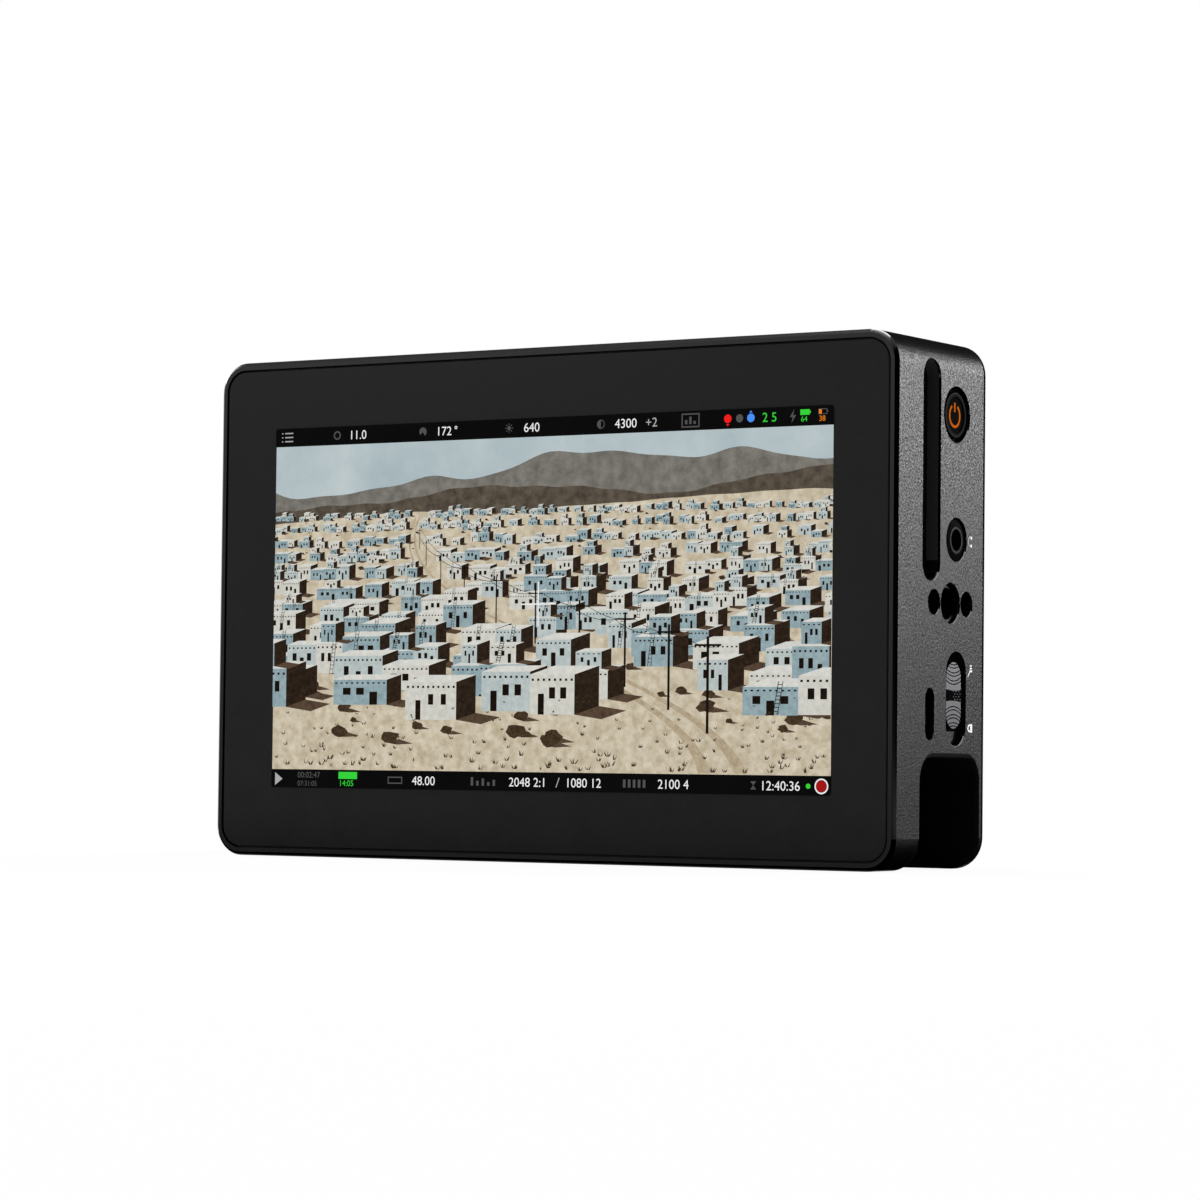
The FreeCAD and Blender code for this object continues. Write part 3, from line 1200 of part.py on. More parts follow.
def battery_contacts():
    """The blade contacts: a root through the plate and the cover, and a blade that points up."""
    pieces = []
    crest = PLATE_BACK + CONTACT_RISE
    for x in contact_places():
        half = CONTACT_THICKNESS / 2
        root = contact_slot(x, COVER_FRONT, crest)
        blade = box(x - half, x + half, PLATE_BACK + CONTACT_LIFT, crest, CONTACT_Z,
                    CONTACT_Z + CONTACT_BLOCK_HEIGHT / 2 + CONTACT_BLADE)
        pieces.append(root.fuse(blade).removeSplitter())
    return pieces


def battery_latch():
    """The sprung catch that holds the battery, with a ramp for the battery to ride over."""
    half_x = LATCH_WIDTH / 2
    half_z = LATCH_HEIGHT / 2
    nose = box(-half_x, half_x, LATCH_FLANGE_BACK, PLATE_BACK + LATCH_RISE,
               LATCH_Z - half_z, LATCH_Z + half_z)
    ramp = [
        edge for edge in edges_along(nose, ALONG_X)
        if edge.CenterOfMass.z > LATCH_Z and edge.CenterOfMass.y > FRONT + PLATE_BACK
    ]
    nose = nose.makeChamfer(LATCH_RAMP, ramp)
    flange = box(-half_x - LATCH_FLANGE, half_x + LATCH_FLANGE, LATCH_FLANGE_FRONT, LATCH_FLANGE_BACK,
                 LATCH_Z - half_z - LATCH_FLANGE, LATCH_Z + half_z + LATCH_FLANGE)
    return nose.fuse(flange).removeSplitter()


def bracket_half_width():
    """Half the inner width of the spring bracket, clear of the latch flange."""
    return LATCH_WIDTH / 2 + LATCH_FLANGE + LATCH_GAP


def battery_latch_bracket():
    """The bent steel bracket behind the latch that its spring rests on."""
    inner = bracket_half_width()
    outer = inner + BRACKET_THICKNESS
    half = SPRING_WIDTH / 2
    block = box(-outer, outer, BRACKET_SEAT - BRACKET_THICKNESS, COVER_FRONT, LATCH_Z - half, LATCH_Z + half)
    room = box(-inner, inner, BRACKET_SEAT, COVER_FRONT + PAST,
               LATCH_Z - SPRING_WIDTH, LATCH_Z + SPRING_WIDTH)
    return block.cut(room)


def arc_band(rise, thickness, span):
    """A bowed strip in the plane across Z: it rises to rise at its middle over a span."""
    ends = (Vector(-span / 2, 0, 0), Vector(span / 2, 0, 0))
    lift = Vector(0, thickness, 0)
    edges = [
        Part.Arc(ends[0], Vector(0, rise - thickness, 0), ends[1]).toShape(),
        Part.LineSegment(ends[1], ends[1] + lift).toShape(),
        Part.Arc(ends[1] + lift, Vector(0, rise, 0), ends[0] + lift).toShape(),
        Part.LineSegment(ends[0] + lift, ends[0]).toShape(),
    ]
    return Part.Face(Part.Wire(edges))


def battery_latch_spring():
    """The bowed leaf spring between the bracket and the latch."""
    span = 2 * (bracket_half_width() - LATCH_GAP)
    strip = arc_band(SPRING_LENGTH, SPRING_THICKNESS, span).extrude(Vector(0, 0, SPRING_WIDTH))
    strip.translate(Vector(0, FRONT + BRACKET_SEAT, LATCH_Z - SPRING_WIDTH / 2))
    return strip


NODES = {
    "housing": housing,
    "cover_glass": cover_glass,
    "glass_gasket": glass_gasket,
    "lcd_panel": lcd_panel,
    "backlight_unit": backlight_unit,
    "display_flex": display_flex,
    "mid_plate": mid_plate,
    "mid_plate_screws": mid_plate_screws,
    "main_board": main_board,
    "main_board_screws": main_board_screws,
    "video_processor": video_processor,
    "heat_sink": heat_sink,
    "fan_frame": fan_frame,
    "fan_rotor": fan_rotor,
    "fan_screws": fan_screws,
    "io_board": io_board,
    "io_board_standoffs": io_board_standoffs,
    "io_board_screws": io_board_screws,
    "board_connector": board_connector,
    "vent_screens": vent_screens,
    "power_button": power_button,
    "power_button_lens": power_button_lens,
    "power_button_seal": power_button_seal,
    "power_switch_plunger": power_switch_plunger,
    "power_switch": power_switch,
    "headphone_jack": headphone_jack,
    "headphone_jack_ring": headphone_jack_ring,
    "usb_socket_shell": usb_socket_shell,
    "usb_socket_tongue": usb_socket_tongue,
    "touch_lock_knob": touch_lock_knob,
    "touch_lock_actuator": touch_lock_actuator,
    "touch_lock_switch": touch_lock_switch,
    "hdmi_socket_shell": hdmi_socket_shell,
    "hdmi_socket_tongue": hdmi_socket_tongue,
    "hdmi_socket_board": socket_board,
    "power_inlet": power_inlet,
    "power_inlet_pin": power_inlet_pin,
    "power_inlet_board": lambda: mirrored(socket_board()),
    "thread_inserts": thread_inserts,
    "rear_cover": rear_cover,
    "rear_cover_screws": rear_cover_screws,
    "battery_plate": battery_plate,
    "battery_plate_screws": battery_plate_screws,
    "battery_contacts": battery_contacts,
    "battery_latch": battery_latch,
    "battery_latch_bracket": battery_latch_bracket,
    "battery_latch_spring": battery_latch_spring,
}

os.makedirs("parts", exist_ok=True)
for name, build in NODES.items():
    shape = build()
    if isinstance(shape, list):
        shape = Part.makeCompound(shape)
    shape.exportStep(f"parts/{name}.step")
    print(name, "solids", len(shape.Solids), "valid", shape.isValid(), "volume", round(shape.Volume, 2))
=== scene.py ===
import math
import random

import bmesh
import bpy
from mathutils import Matrix, Vector


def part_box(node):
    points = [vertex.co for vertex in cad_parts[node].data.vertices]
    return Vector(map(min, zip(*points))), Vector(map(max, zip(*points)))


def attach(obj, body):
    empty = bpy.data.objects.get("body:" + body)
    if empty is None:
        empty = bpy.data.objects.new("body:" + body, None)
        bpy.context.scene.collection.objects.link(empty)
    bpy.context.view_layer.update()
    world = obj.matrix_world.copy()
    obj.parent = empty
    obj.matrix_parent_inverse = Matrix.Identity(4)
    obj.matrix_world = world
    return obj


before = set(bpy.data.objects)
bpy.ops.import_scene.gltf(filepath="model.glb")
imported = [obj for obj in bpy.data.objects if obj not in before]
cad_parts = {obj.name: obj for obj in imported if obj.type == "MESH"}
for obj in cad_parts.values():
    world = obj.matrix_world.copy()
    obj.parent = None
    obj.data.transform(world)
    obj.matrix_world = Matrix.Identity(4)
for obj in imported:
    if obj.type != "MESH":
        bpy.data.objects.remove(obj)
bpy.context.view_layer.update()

# The body is one block of aluminium, milled to a rounded slab with a rim for the glass, vent slots, holes and
# connector bays. It is bead-blasted and anodised black.
MM = 0.001
# A Mix node's sockets for two colours, and for what it makes of them.
FIRST, SECOND, MIXED = 6, 7, 2


def linear(colour):
    """The linear colour of an sRGB hex value such as #303134."""
    shares = [int(colour[at:at + 2], 16) / 255 for at in (1, 3, 5)]
    return [s / 12.92 if s <= 0.04045 else ((s + 0.055) / 1.055) ** 2.4 for s in shares] + [1.0]


def add(tree, kind, inputs=None, **settings):
    """Adds a node. settings are its options, inputs its sockets' values or the outputs linked to them."""
    node = tree.nodes.new(kind)
    for name, value in settings.items():
        setattr(node, name, value)
    for socket, value in (inputs or {}).items():
        if isinstance(value, bpy.types.NodeSocket):
            tree.links.new(value, node.inputs[socket])
        else:
            node.inputs[socket].default_value = value
    return node


def new_material(name):
    material = bpy.data.materials.new(name)
    material.use_nodes = True
    material.node_tree.nodes.clear()
    return material, material.node_tree


def grained(name, dark, light, grain, rough, spread=0.05, relief=0.0, **sockets):
    """A surface of two close tones, in grains so many mm wide. Roughness and relief, in mm, follow them."""
    # Most of the noise lies between these.
    low, high = 0.32, 0.68
    material, tree = new_material(name)
    place = add(tree, "ShaderNodeTexCoord")
    grains = add(tree, "ShaderNodeTexNoise", {
        "Vector": place.outputs["Object"], "Scale": 1 / (grain * MM), "Detail": 3.0, "Roughness": 0.6})
    tone = add(tree, "ShaderNodeMapRange", {"Value": grains.outputs[0], "From Min": low, "From Max": high})
    colour = add(tree, "ShaderNodeMix", {
        0: tone.outputs[0], FIRST: linear(dark), SECOND: linear(light)}, data_type="RGBA")
    gloss = add(tree, "ShaderNodeMapRange", {
        "Value": grains.outputs[0], "From Min": low, "From Max": high,
        "To Min": rough + spread, "To Max": rough - spread})
    bump = add(tree, "ShaderNodeBump", {"Height": grains.outputs[0], "Distance": relief * MM})
    shader = add(tree, "ShaderNodeBsdfPrincipled", {
        "Base Color": colour.outputs[MIXED], "Roughness": gloss.outputs[0], "Normal": bump.outputs[0]})
    for socket, value in sockets.items():
        shader.inputs[socket.replace("_", " ")].default_value = value
    add(tree, "ShaderNodeOutputMaterial", {"Surface": shader.outputs[0]})
    return material


def finish(material, *nodes):
    """Gives solids of the frame their material."""
    for node in nodes:
        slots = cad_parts[node].data.materials
        slots.clear()
        slots.append(material)


# Anodised aluminium, bead-blasted: a dark metal sheen with a fine sparkle. The beads' pits are about 0.08 mm
# wide and are drawn at 0.36 mm, so that they show.
blasted_aluminium = grained(
    "anodised_aluminium_bead_blasted", "#1b1b1b", "#3e3e3e", grain=0.36, rough=0.38, spread=0.06,
    relief=0.045, Metallic=1.0, Specular_IOR_Level=0.0, Specular_Tint=linear("#c2c2c2"))
tree = blasted_aluminium.node_tree
shader = tree.nodes["Principled BSDF"]
where = add(tree, "ShaderNodeSeparateXYZ", {0: tree.nodes["Texture Coordinate"].outputs["Object"]}).outputs
facing = add(tree, "ShaderNodeSeparateXYZ", {0: add(tree, "ShaderNodeNewGeometry").outputs["Normal"]}).outputs
# The rim's chamfer is cut last, with a polished tool, so it is smooth and looks blacker than the blasted
# faces. It is smoothest at its outer edge, which catches the light as a thin line above; where that edge
# faces up, it also has a painted highlight.
CHAMFER_FACING, CHAMFER_SPREAD, CHAMFER_FRONT, CHAMFER_BACK = -math.sqrt(0.5), 0.12, -17.7, -17.1
UP_PARTLY, UP_WHOLLY = 0.1, 0.5
SIDE_ROUGH, UPPER_ROUGH, EDGE_ROUGH = 0.14, 0.55, 0.06
chamfer = add(tree, "ShaderNodeMath", {
    0: facing["Y"], 1: CHAMFER_FACING, 2: CHAMFER_SPREAD}, operation="COMPARE").outputs[0]
upper = add(tree, "ShaderNodeMapRange", {
    "Value": facing["Z"], "From Min": UP_PARTLY, "From Max": UP_WHOLLY}).outputs[0]
inner = add(tree, "ShaderNodeMapRange", {"Value": upper, "To Min": SIDE_ROUGH, "To Max": UPPER_ROUGH})
cut = add(tree, "ShaderNodeMapRange", {
    "Value": where["Y"], "From Min": CHAMFER_FRONT * MM, "From Max": CHAMFER_BACK * MM,
    "To Min": inner.outputs[0], "To Max": EDGE_ROUGH})
smoother = add(tree, "ShaderNodeMapRange", {
    "Value": chamfer, "To Min": shader.inputs["Roughness"].links[0].from_socket, "To Max": cut.outputs[0]})
tree.links.new(smoother.outputs[0], shader.inputs["Roughness"])
# The vent slots' inner walls and the bays' upper lips are dull, without a metal sheen. The slider's
# pocket, the bays and a narrow band at the rear edge are painted black as shade, and have no sheen either.


def both_sides(**spans):
    """A box on the right side, and its mirror image on the left."""
    near, far = spans["X"]
    return [spans, dict(spans, X=(-far, -near))]


def within(*boxes):
    """1 where the body's coordinates lie in one of the boxes, which have spans in mm for some axes."""
    mask = 0.0
    for spans in boxes:
        inside = 1.0
        for axis, (low, high) in spans.items():
            here = add(tree, "ShaderNodeMath", {
                0: where[axis], 1: (low + high) / 2 * MM, 2: (high - low) / 2 * MM}, operation="COMPARE")
            inside = add(tree, "ShaderNodeMath", {
                0: inside, 1: here.outputs[0]}, operation="MULTIPLY").outputs[0]
        mask = add(tree, "ShaderNodeMath", {0: mask, 1: inside}, operation="MAXIMUM").outputs[0]
    return mask


slots = within(*both_sides(X=(58.0, 66.58), Y=(-8.82, -3.18), Z=(49.6, 81.55)))
lips = within(*both_sides(X=(66.0, 66.88), Y=(-10.0, 11.5), Z=(18.02, 18.85)))
bays = both_sides(X=(46.0, 66.88), Y=(-10.0, 11.5), Z=(0.03, 18.02))
pocket = dict(X=(65.0, 66.6), Y=(-0.6, 6.3), Z=(22.3, 35.2))
rear_edge = dict(Y=(11.95, 12.62))
# Painted shade: the pocket, the band at the rear edge and the bays are painted black.
black = within(pocket, rear_edge, *bays)
sheen = 1.0
for mask in (slots, lips, black):
    sheen = add(tree, "ShaderNodeMath", {0: sheen, 1: mask}, operation="SUBTRACT", use_clamp=True).outputs[0]
tree.links.new(sheen, shader.inputs["Metallic"])
# Painted highlight: where the chamfer faces up, its outer edge is painted a little paler.
GLINT_WIDTH = 0.25
glint = add(tree, "ShaderNodeMapRange", {
    "Value": where["Y"], "From Min": (CHAMFER_BACK - GLINT_WIDTH) * MM, "From Max": CHAMFER_BACK * MM}).outputs[0]
for mask in (upper, chamfer):
    glint = add(tree, "ShaderNodeMath", {0: glint, 1: mask}, operation="MULTIPLY").outputs[0]
# Painted highlight: the broken edges of the sides' holes are painted pale where they face up.
EDGE_FACING = 0.35
facing_up = add(tree, "ShaderNodeMath", {0: facing["Z"], 1: EDGE_FACING}, operation="GREATER_THAN")
hole_edge_highlights = add(tree, "ShaderNodeMath", {
    0: within(*both_sides(X=(66.7, 66.89), Z=(2.0, 78.0))), 1: facing_up.outputs[0]},
    operation="MULTIPLY").outputs[0]
# The rim's front is lapped before the anodising. It and the chamfer have no pits and one even tone, as have
# the slots' walls.
LAPPED_FACING = -0.55
lapped = add(tree, "ShaderNodeMath", {0: facing["Y"], 1: LAPPED_FACING}, operation="LESS_THAN").outputs[0]
pitted = add(tree, "ShaderNodeMath", {0: 1.0, 1: lapped}, operation="SUBTRACT")
tree.links.new(pitted.outputs[0], tree.nodes["Bump"].inputs["Strength"])
# The base colour, in turn: the even tone, the painted highlights, the lips' tone and the painted shade.
tone = shader.inputs["Base Color"].links[0].from_socket
for mask, colour in ((lapped, "#2a2a2b"), (slots, "#2a2a2b"), (glint, "#3f3f3f"), (hole_edge_highlights, "#8c8c8c"),
                     (lips, "#1c1c1b"), (black, "#0a0a0a")):
    tone = add(tree, "ShaderNodeMix", {
        0: mask, FIRST: tone, SECOND: linear(colour)}, data_type="RGBA").outputs[MIXED]
tree.links.new(tone, shader.inputs["Base Color"])
finish(blasted_aluminium, "housing")

# The thread inserts are turned stainless steel, blackened and pressed into the right side, the left side and
# the bottom. Each has a quarter-inch thread of 20 turns to the inch, cut with a tap.
MOUNT_Y, MOUNT_Z, SIDE_MOUTH, BOTTOM_MOUTH, INSERT_BORE = 0.7, 42.8, 66.1, 0.8, 2.6
THREAD_PITCH, THREAD_LENGTH, THREAD_START, THREAD_STEPS = 1.27, 6.2, 0.5, 24
RIDGE_RISE, RIDGE_ROOT, RIDGE_HALF = 0.2, 0.02, 0.45
# Stainless steel, turned and blackened: nearly black, with a dull metal sheen. The tool's marks are about
# 0.05 mm apart and are drawn at 0.25 mm, so that they show.
black_steel = grained("stainless_steel_turned_blackened", "#030303", "#070707", grain=0.25, rough=0.5,
                      spread=0.06, relief=0.003, Metallic=1.0)
finish(black_steel, "thread_inserts")


def piece(name, mesh, material, body):
    """Makes a piece of a bmesh in the frame's place. It rides on a body and takes its finish from a slot."""
    bmesh.ops.recalc_face_normals(mesh, faces=mesh.faces)
    data = bpy.data.meshes.new(name)
    mesh.to_mesh(data)
    mesh.free()
    data.materials.append(material)
    made = bpy.data.objects.new(name, data)
    bpy.context.collection.objects.link(made)
    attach(made, body)
    return made


def thread(mesh, mouth, inward):
    """A tapped thread's crest: a three-sided ridge wound inward from a bore's mouth."""
    across = inward.orthogonal().normalized()
    beside = inward.cross(across)
    profile = ((INSERT_BORE + RIDGE_ROOT, -RIDGE_HALF), (INSERT_BORE - RIDGE_RISE, 0.0),
               (INSERT_BORE + RIDGE_ROOT, RIDGE_HALF))
    rings = []
    for step in range(int(THREAD_LENGTH / THREAD_PITCH * THREAD_STEPS) + 1):
        turn = math.tau * step / THREAD_STEPS
        out = across * math.cos(turn) + beside * math.sin(turn)
        along = THREAD_START + THREAD_PITCH * step / THREAD_STEPS
        rings.append([mesh.verts.new((mouth + inward * (along + shift) + out * radius) * MM)
                      for radius, shift in profile])
    for here, there in zip(rings, rings[1:]):
        for a, b in ((0, 1), (1, 2), (2, 0)):
            mesh.faces.new((here[a], here[b], there[b], there[a]))
    mesh.faces.new(rings[0])
    mesh.faces.new(reversed(rings[-1]))


threads = bmesh.new()
for mouth, inward in (((SIDE_MOUTH, MOUNT_Y, MOUNT_Z), (-1, 0, 0)),
                      ((-SIDE_MOUTH, MOUNT_Y, MOUNT_Z), (1, 0, 0)),
                      ((0.0, MOUNT_Y, BOTTOM_MOUTH), (0, 0, 1))):
    thread(threads, Vector(mouth), Vector(inward))
piece("insert_threads", threads, black_steel, "monitor")

# The dust screens are moulded of black polycarbonate, with slits that let the air through. Each is glued
# behind a vent slot from inside.
# Polycarbonate, left as it comes from a spark-eroded tool: matt, with an even grain. The grain is about
# 0.05 mm wide and is drawn at 0.35 mm, so that it shows.
black_plastic = grained("polycarbonate_moulded_black", "#0b0b0c", "#161617", grain=0.35, rough=0.55,
                        spread=0.06, relief=0.006, Specular_IOR_Level=0.02)
finish(black_plastic, "vent_screens")

# The mid plate is pressed from aluminium sheet and carries the display and the boards. Zinc-plated steel
# screws hold it to the posts in the body.
# Aluminium, rolled and left bare: pale grey, faintly clouded. The marks of the rolls are drawn at 0.8 mm.
bare_aluminium = grained("aluminium_rolled_bare", "#8d9093", "#a9acae", grain=0.8, rough=0.36, relief=0.002,
                         Metallic=1.0)
# Steel, zinc-plated: bright and slightly bluish. The crystals are far below 0.1 mm and are drawn at 0.5 mm.
zinc_plate = grained("steel_zinc_plated", "#9a9da3", "#b9bcc0", grain=0.5, rough=0.28, relief=0.002,
                     Metallic=1.0)
finish(bare_aluminium, "mid_plate")
finish(zinc_plate, "mid_plate_screws")

# The display is a glass panel on a pressed backlight tray, with a flat polyimide cable to the main board.
# Foam tape, cut to a frame, holds the cover glass in its rim.
# Display glass under a polarising film: black and smooth, with faint clouds 2 mm wide.
panel_glass = grained("display_glass_polarised", "#08090a", "#0d0e10", grain=2.0, rough=0.22, spread=0.03)
# Steel, pressed: a grey sheen. The sheet's grain, about 0.1 mm, is drawn at 0.7 mm.
pressed_tray = grained("steel_tray_pressed", "#85888b", "#9b9ea1", grain=0.7, rough=0.34, relief=0.002,
                       Metallic=1.0)
# Polyimide film, laminated: amber with a soft gloss, and clouds of glue 0.6 mm wide under it.
polyimide = grained("polyimide_film_laminated", "#8a5a1e", "#a06d2b", grain=0.6, rough=0.32, relief=0.001)
# Acrylic foam, die-cut: dull black with open cells 0.2 mm wide.
foam = grained("acrylic_foam_die_cut", "#121213", "#1d1d1e", grain=0.2, rough=0.85, relief=0.02)
finish(panel_glass, "lcd_panel")
finish(pressed_tray, "backlight_unit")
finish(polyimide, "display_flex")
finish(foam, "glass_gasket")

# The boards are glass-fibre laminate under a dark solder mask. Screws hold them, and the control board stands
# on tall brass standoffs. The processor, the switches and the stacking connector are moulded, and the heat
# sink is bare aluminium.
# Glass-fibre board, masked: a dark green gloss that shows the weave, 0.5 mm wide, below it.
solder_mask = grained("glass_fibre_board_masked", "#0b1410", "#13211a", grain=0.5, rough=0.34, spread=0.06,
                      relief=0.003)
# Epoxy, moulded: dull dark grey with a fine grain 0.15 mm wide.
chip_case = grained("epoxy_chip_case_moulded", "#141415", "#212123", grain=0.15, rough=0.6, relief=0.004)
# Brass, turned: yellow and bright. The tool's marks, about 0.05 mm apart, are drawn at 0.3 mm.
brass = grained("brass_turned", "#a8853f", "#c09c54", grain=0.3, rough=0.3, relief=0.002, Metallic=1.0)
finish(solder_mask, "main_board", "io_board", "hdmi_socket_board", "power_inlet_board")
finish(chip_case, "video_processor", "board_connector", "power_switch", "touch_lock_switch")
finish(bare_aluminium, "heat_sink")
finish(brass, "io_board_standoffs")
finish(zinc_plate, "main_board_screws", "io_board_screws")

# The fan is a bought part of moulded black plastic: a frame with a shaft, and a rotor with blades that turns
# on it. Screws hold the frame.
# Polybutylene, moulded: black with a soft gloss. The grain, about 0.05 mm wide, is drawn at 0.3 mm.
fan_plastic = grained("polybutylene_moulded_black", "#0e0e0f", "#19191a", grain=0.3, rough=0.42, spread=0.06,
                      relief=0.004)
finish(fan_plastic, "fan_frame", "fan_rotor")
finish(zinc_plate, "fan_screws")

# The sockets are soldered to the boards behind their holes. The shells are drawn steel with nickel on it, the
# tongues and bodies black plastic, and the headphone socket has a turned ring in its mouth.
# Steel, drawn and plated with black nickel: a dark metal gloss. The die's marks, about 0.1 mm apart, are
# drawn at 0.4 mm.
socket_steel = grained("steel_drawn_black_nickel", "#2c2c2e", "#3d3d3f", grain=0.4, rough=0.3, spread=0.06,
                       relief=0.002, Metallic=1.0)
# Brass, turned and plated with black nickel: darker and softer. The tool's marks, about 0.05 mm apart, are
# drawn at 0.3 mm.
nickel = grained("brass_turned_black_nickel", "#1a1a1b", "#242425", grain=0.3, rough=0.48, relief=0.001,
                 Metallic=1.0, Specular_Tint=linear("#c2c2c2"))
# Polyamide, moulded: the headphone socket's nose is dull and deep black. Its grain, about 0.05 mm wide, is
# drawn at 0.35 mm.
nose_plastic = grained("polyamide_moulded_deep_black", "#060606", "#0c0c0c", grain=0.35, rough=0.6,
                       relief=0.003, Specular_IOR_Level=0.003)
finish(socket_steel, "usb_socket_shell", "hdmi_socket_shell", "power_inlet_pin")
finish(black_plastic, "usb_socket_tongue", "hdmi_socket_tongue", "power_inlet")
finish(nose_plastic, "headphone_jack")
finish(nickel, "headphone_jack_ring")

# The power button is a moulded black cap in a rubber seal. A smoked lens fills its middle, and the power sign
# in the lens is lit orange from behind.
# ABS, moulded to a satin face: black and even. The grain, about 0.03 mm wide, is drawn at 0.3 mm.
satin_cap = grained("abs_moulded_satin_black", "#050506", "#0b0b0c", grain=0.3, rough=0.5, spread=0.06,
                    relief=0.003, Specular_IOR_Level=0.004)
# Silicone rubber, moulded: dull black. The grain, about 0.05 mm wide, is drawn at 0.25 mm.
seal_rubber = grained("silicone_rubber_moulded", "#080808", "#111111", grain=0.25, rough=0.7, spread=0.06,
                      relief=0.006, Specular_IOR_Level=0.003)
# Acrylic, smoked: nearly black, with faint clouds 0.8 mm wide and no gloss.
smoked_lens = grained("acrylic_lens_smoked", "#0b0b0b", "#131313", grain=0.8, rough=0.4, spread=0.04,
                      Specular_IOR_Level=0.0)
# Painted highlight: a thin ring round the cap's face is painted paler.
HIGHLIGHT_RADIUS, HIGHLIGHT_HALF = 3.5, 0.12
cap_low, cap_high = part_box("power_button")
tree = satin_cap.node_tree
shader = tree.nodes["Principled BSDF"]
from_middle = add(tree, "ShaderNodeVectorMath", {
    0: tree.nodes["Texture Coordinate"].outputs["Object"], 1: (cap_low + cap_high) / 2}, operation="SUBTRACT")
from_axis = add(tree, "ShaderNodeVectorMath", {0: from_middle.outputs[0], 1: (0, 1, 1)}, operation="MULTIPLY")
radius = add(tree, "ShaderNodeVectorMath", {0: from_axis.outputs[0]}, operation="LENGTH")
rim_highlight = add(tree, "ShaderNodeMath", {
    0: radius.outputs["Value"], 1: HIGHLIGHT_RADIUS * MM, 2: HIGHLIGHT_HALF * MM}, operation="COMPARE")
rim_highlighted = add(tree, "ShaderNodeMix", {
    0: rim_highlight.outputs[0], FIRST: shader.inputs["Base Color"].links[0].from_socket, SECOND: linear("#2a2a2b")},
    data_type="RGBA")
tree.links.new(rim_highlighted.outputs[MIXED], shader.inputs["Base Color"])
finish(satin_cap, "power_button", "power_switch_plunger")
finish(seal_rubber, "power_button_seal")
finish(smoked_lens, "power_button_lens")


def lit(name, dark, light=None, grain=None):
    """A surface that gives its own light, in one tone or in two close ones, in grains so many mm wide."""
    material, tree = new_material(name)
    glow = linear(dark)
    if light:
        place = add(tree, "ShaderNodeTexCoord")
        grains = add(tree, "ShaderNodeTexNoise", {
            "Vector": place.outputs["Object"], "Scale": 1 / (grain * MM), "Detail": 4.0, "Roughness": 0.65})
        tone = add(tree, "ShaderNodeMapRange", {"Value": grains.outputs[0], "From Min": 0.3, "From Max": 0.7})
        glow = add(tree, "ShaderNodeMix", {
            0: tone.outputs[0], FIRST: glow, SECOND: linear(light)}, data_type="RGBA").outputs[MIXED]
    shader = add(tree, "ShaderNodeBsdfPrincipled", {
        "Base Color": linear("#050505"), "Roughness": 0.3, "Specular IOR Level": 0.0,
        "Emission Color": glow, "Emission Strength": 1.0})
    add(tree, "ShaderNodeOutputMaterial", {"Surface": shader.outputs[0]})
    return material


def box_shape(left, low, right, high):
    return [(left, low), (right, low), (right, high), (left, high)]


def band_shape(across, up, inner, outer, start, end, steps=24):
    """Part of a flat ring, from one angle to another in degrees."""
    turns = [math.radians(start + (end - start) * step / steps) for step in range(steps + 1)]
    return ([(across + outer * math.cos(t), up + outer * math.sin(t)) for t in turns]
            + [(across + inner * math.cos(t), up + inner * math.sin(t)) for t in reversed(turns)])


def film(mesh, shapes, origin, right, up, thickness):
    """Adds flat shapes, rings of (across, up) points in mm, to a mesh as thin solids on a face at origin."""
    outward = right.cross(up) * thickness
    for shape in shapes:
        area = sum(a[0] * b[1] - b[0] * a[1] for a, b in zip(shape, shape[1:] + shape[:1]))
        ring = shape if area > 0 else shape[::-1]
        low = [mesh.verts.new((origin + right * a + up * b) * MM) for a, b in ring]
        high = [mesh.verts.new((origin + right * a + up * b + outward) * MM) for a, b in ring]
        mesh.faces.new(high)
        mesh.faces.new(low[::-1])
        for at in range(len(ring)):
            after = (at + 1) % len(ring)
            mesh.faces.new((low[at], low[after], high[after], high[at]))
    return mesh


RIGHTWARD, AWAY, UPWARD = Vector((1, 0, 0)), Vector((0, 1, 0)), Vector((0, 0, 1))
SIGN_DROP, SIGN_INNER, SIGN_OUTER, SIGN_START, SIGN_END, SIGN_STEPS = -0.12, 1.56, 1.97, 122, 418, 40
STROKE_HALF, STROKE_FOOT, STROKE_HEAD, SIGN_RISE = 0.22, 0.5, 2.0, 0.02
lens_low, lens_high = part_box("power_button_lens")
lens_face = Vector((lens_high.x, (lens_low.y + lens_high.y) / 2, (lens_low.z + lens_high.z) / 2)) / MM
power_sign = film(bmesh.new(), [
    band_shape(0, SIGN_DROP, SIGN_INNER, SIGN_OUTER, SIGN_START, SIGN_END, SIGN_STEPS),
    box_shape(-STROKE_HALF, STROKE_FOOT, STROKE_HALF, STROKE_HEAD)], lens_face, AWAY, UPWARD, SIGN_RISE)
# Acrylic, lit through: an orange glow, a little uneven over 0.8 mm.
lit_acrylic = lit("acrylic_lit_orange", "#b85610", "#cd6912", grain=0.8)
piece("power_sign", power_sign, lit_acrylic, "power_button")

# The touch lock is a grey slider that a thumb pushes up or down: zinc, die-cast with arched ribs between
# grooves and tumbled to a soft sheen. A black rubber pad with rows of small studs is moulded over its middle.
# Zinc, die-cast, tumbled and plated with black nickel: a soft grey sheen. The tumbling marks, about 0.1 mm,
# are drawn at 0.3 mm, so that they show.
knob_zinc = grained("zinc_die_cast_black_nickel", "#38383a", "#4d4d4f", grain=0.3, rough=0.36, spread=0.06,
                    relief=0.004, Specular_IOR_Level=0.0)
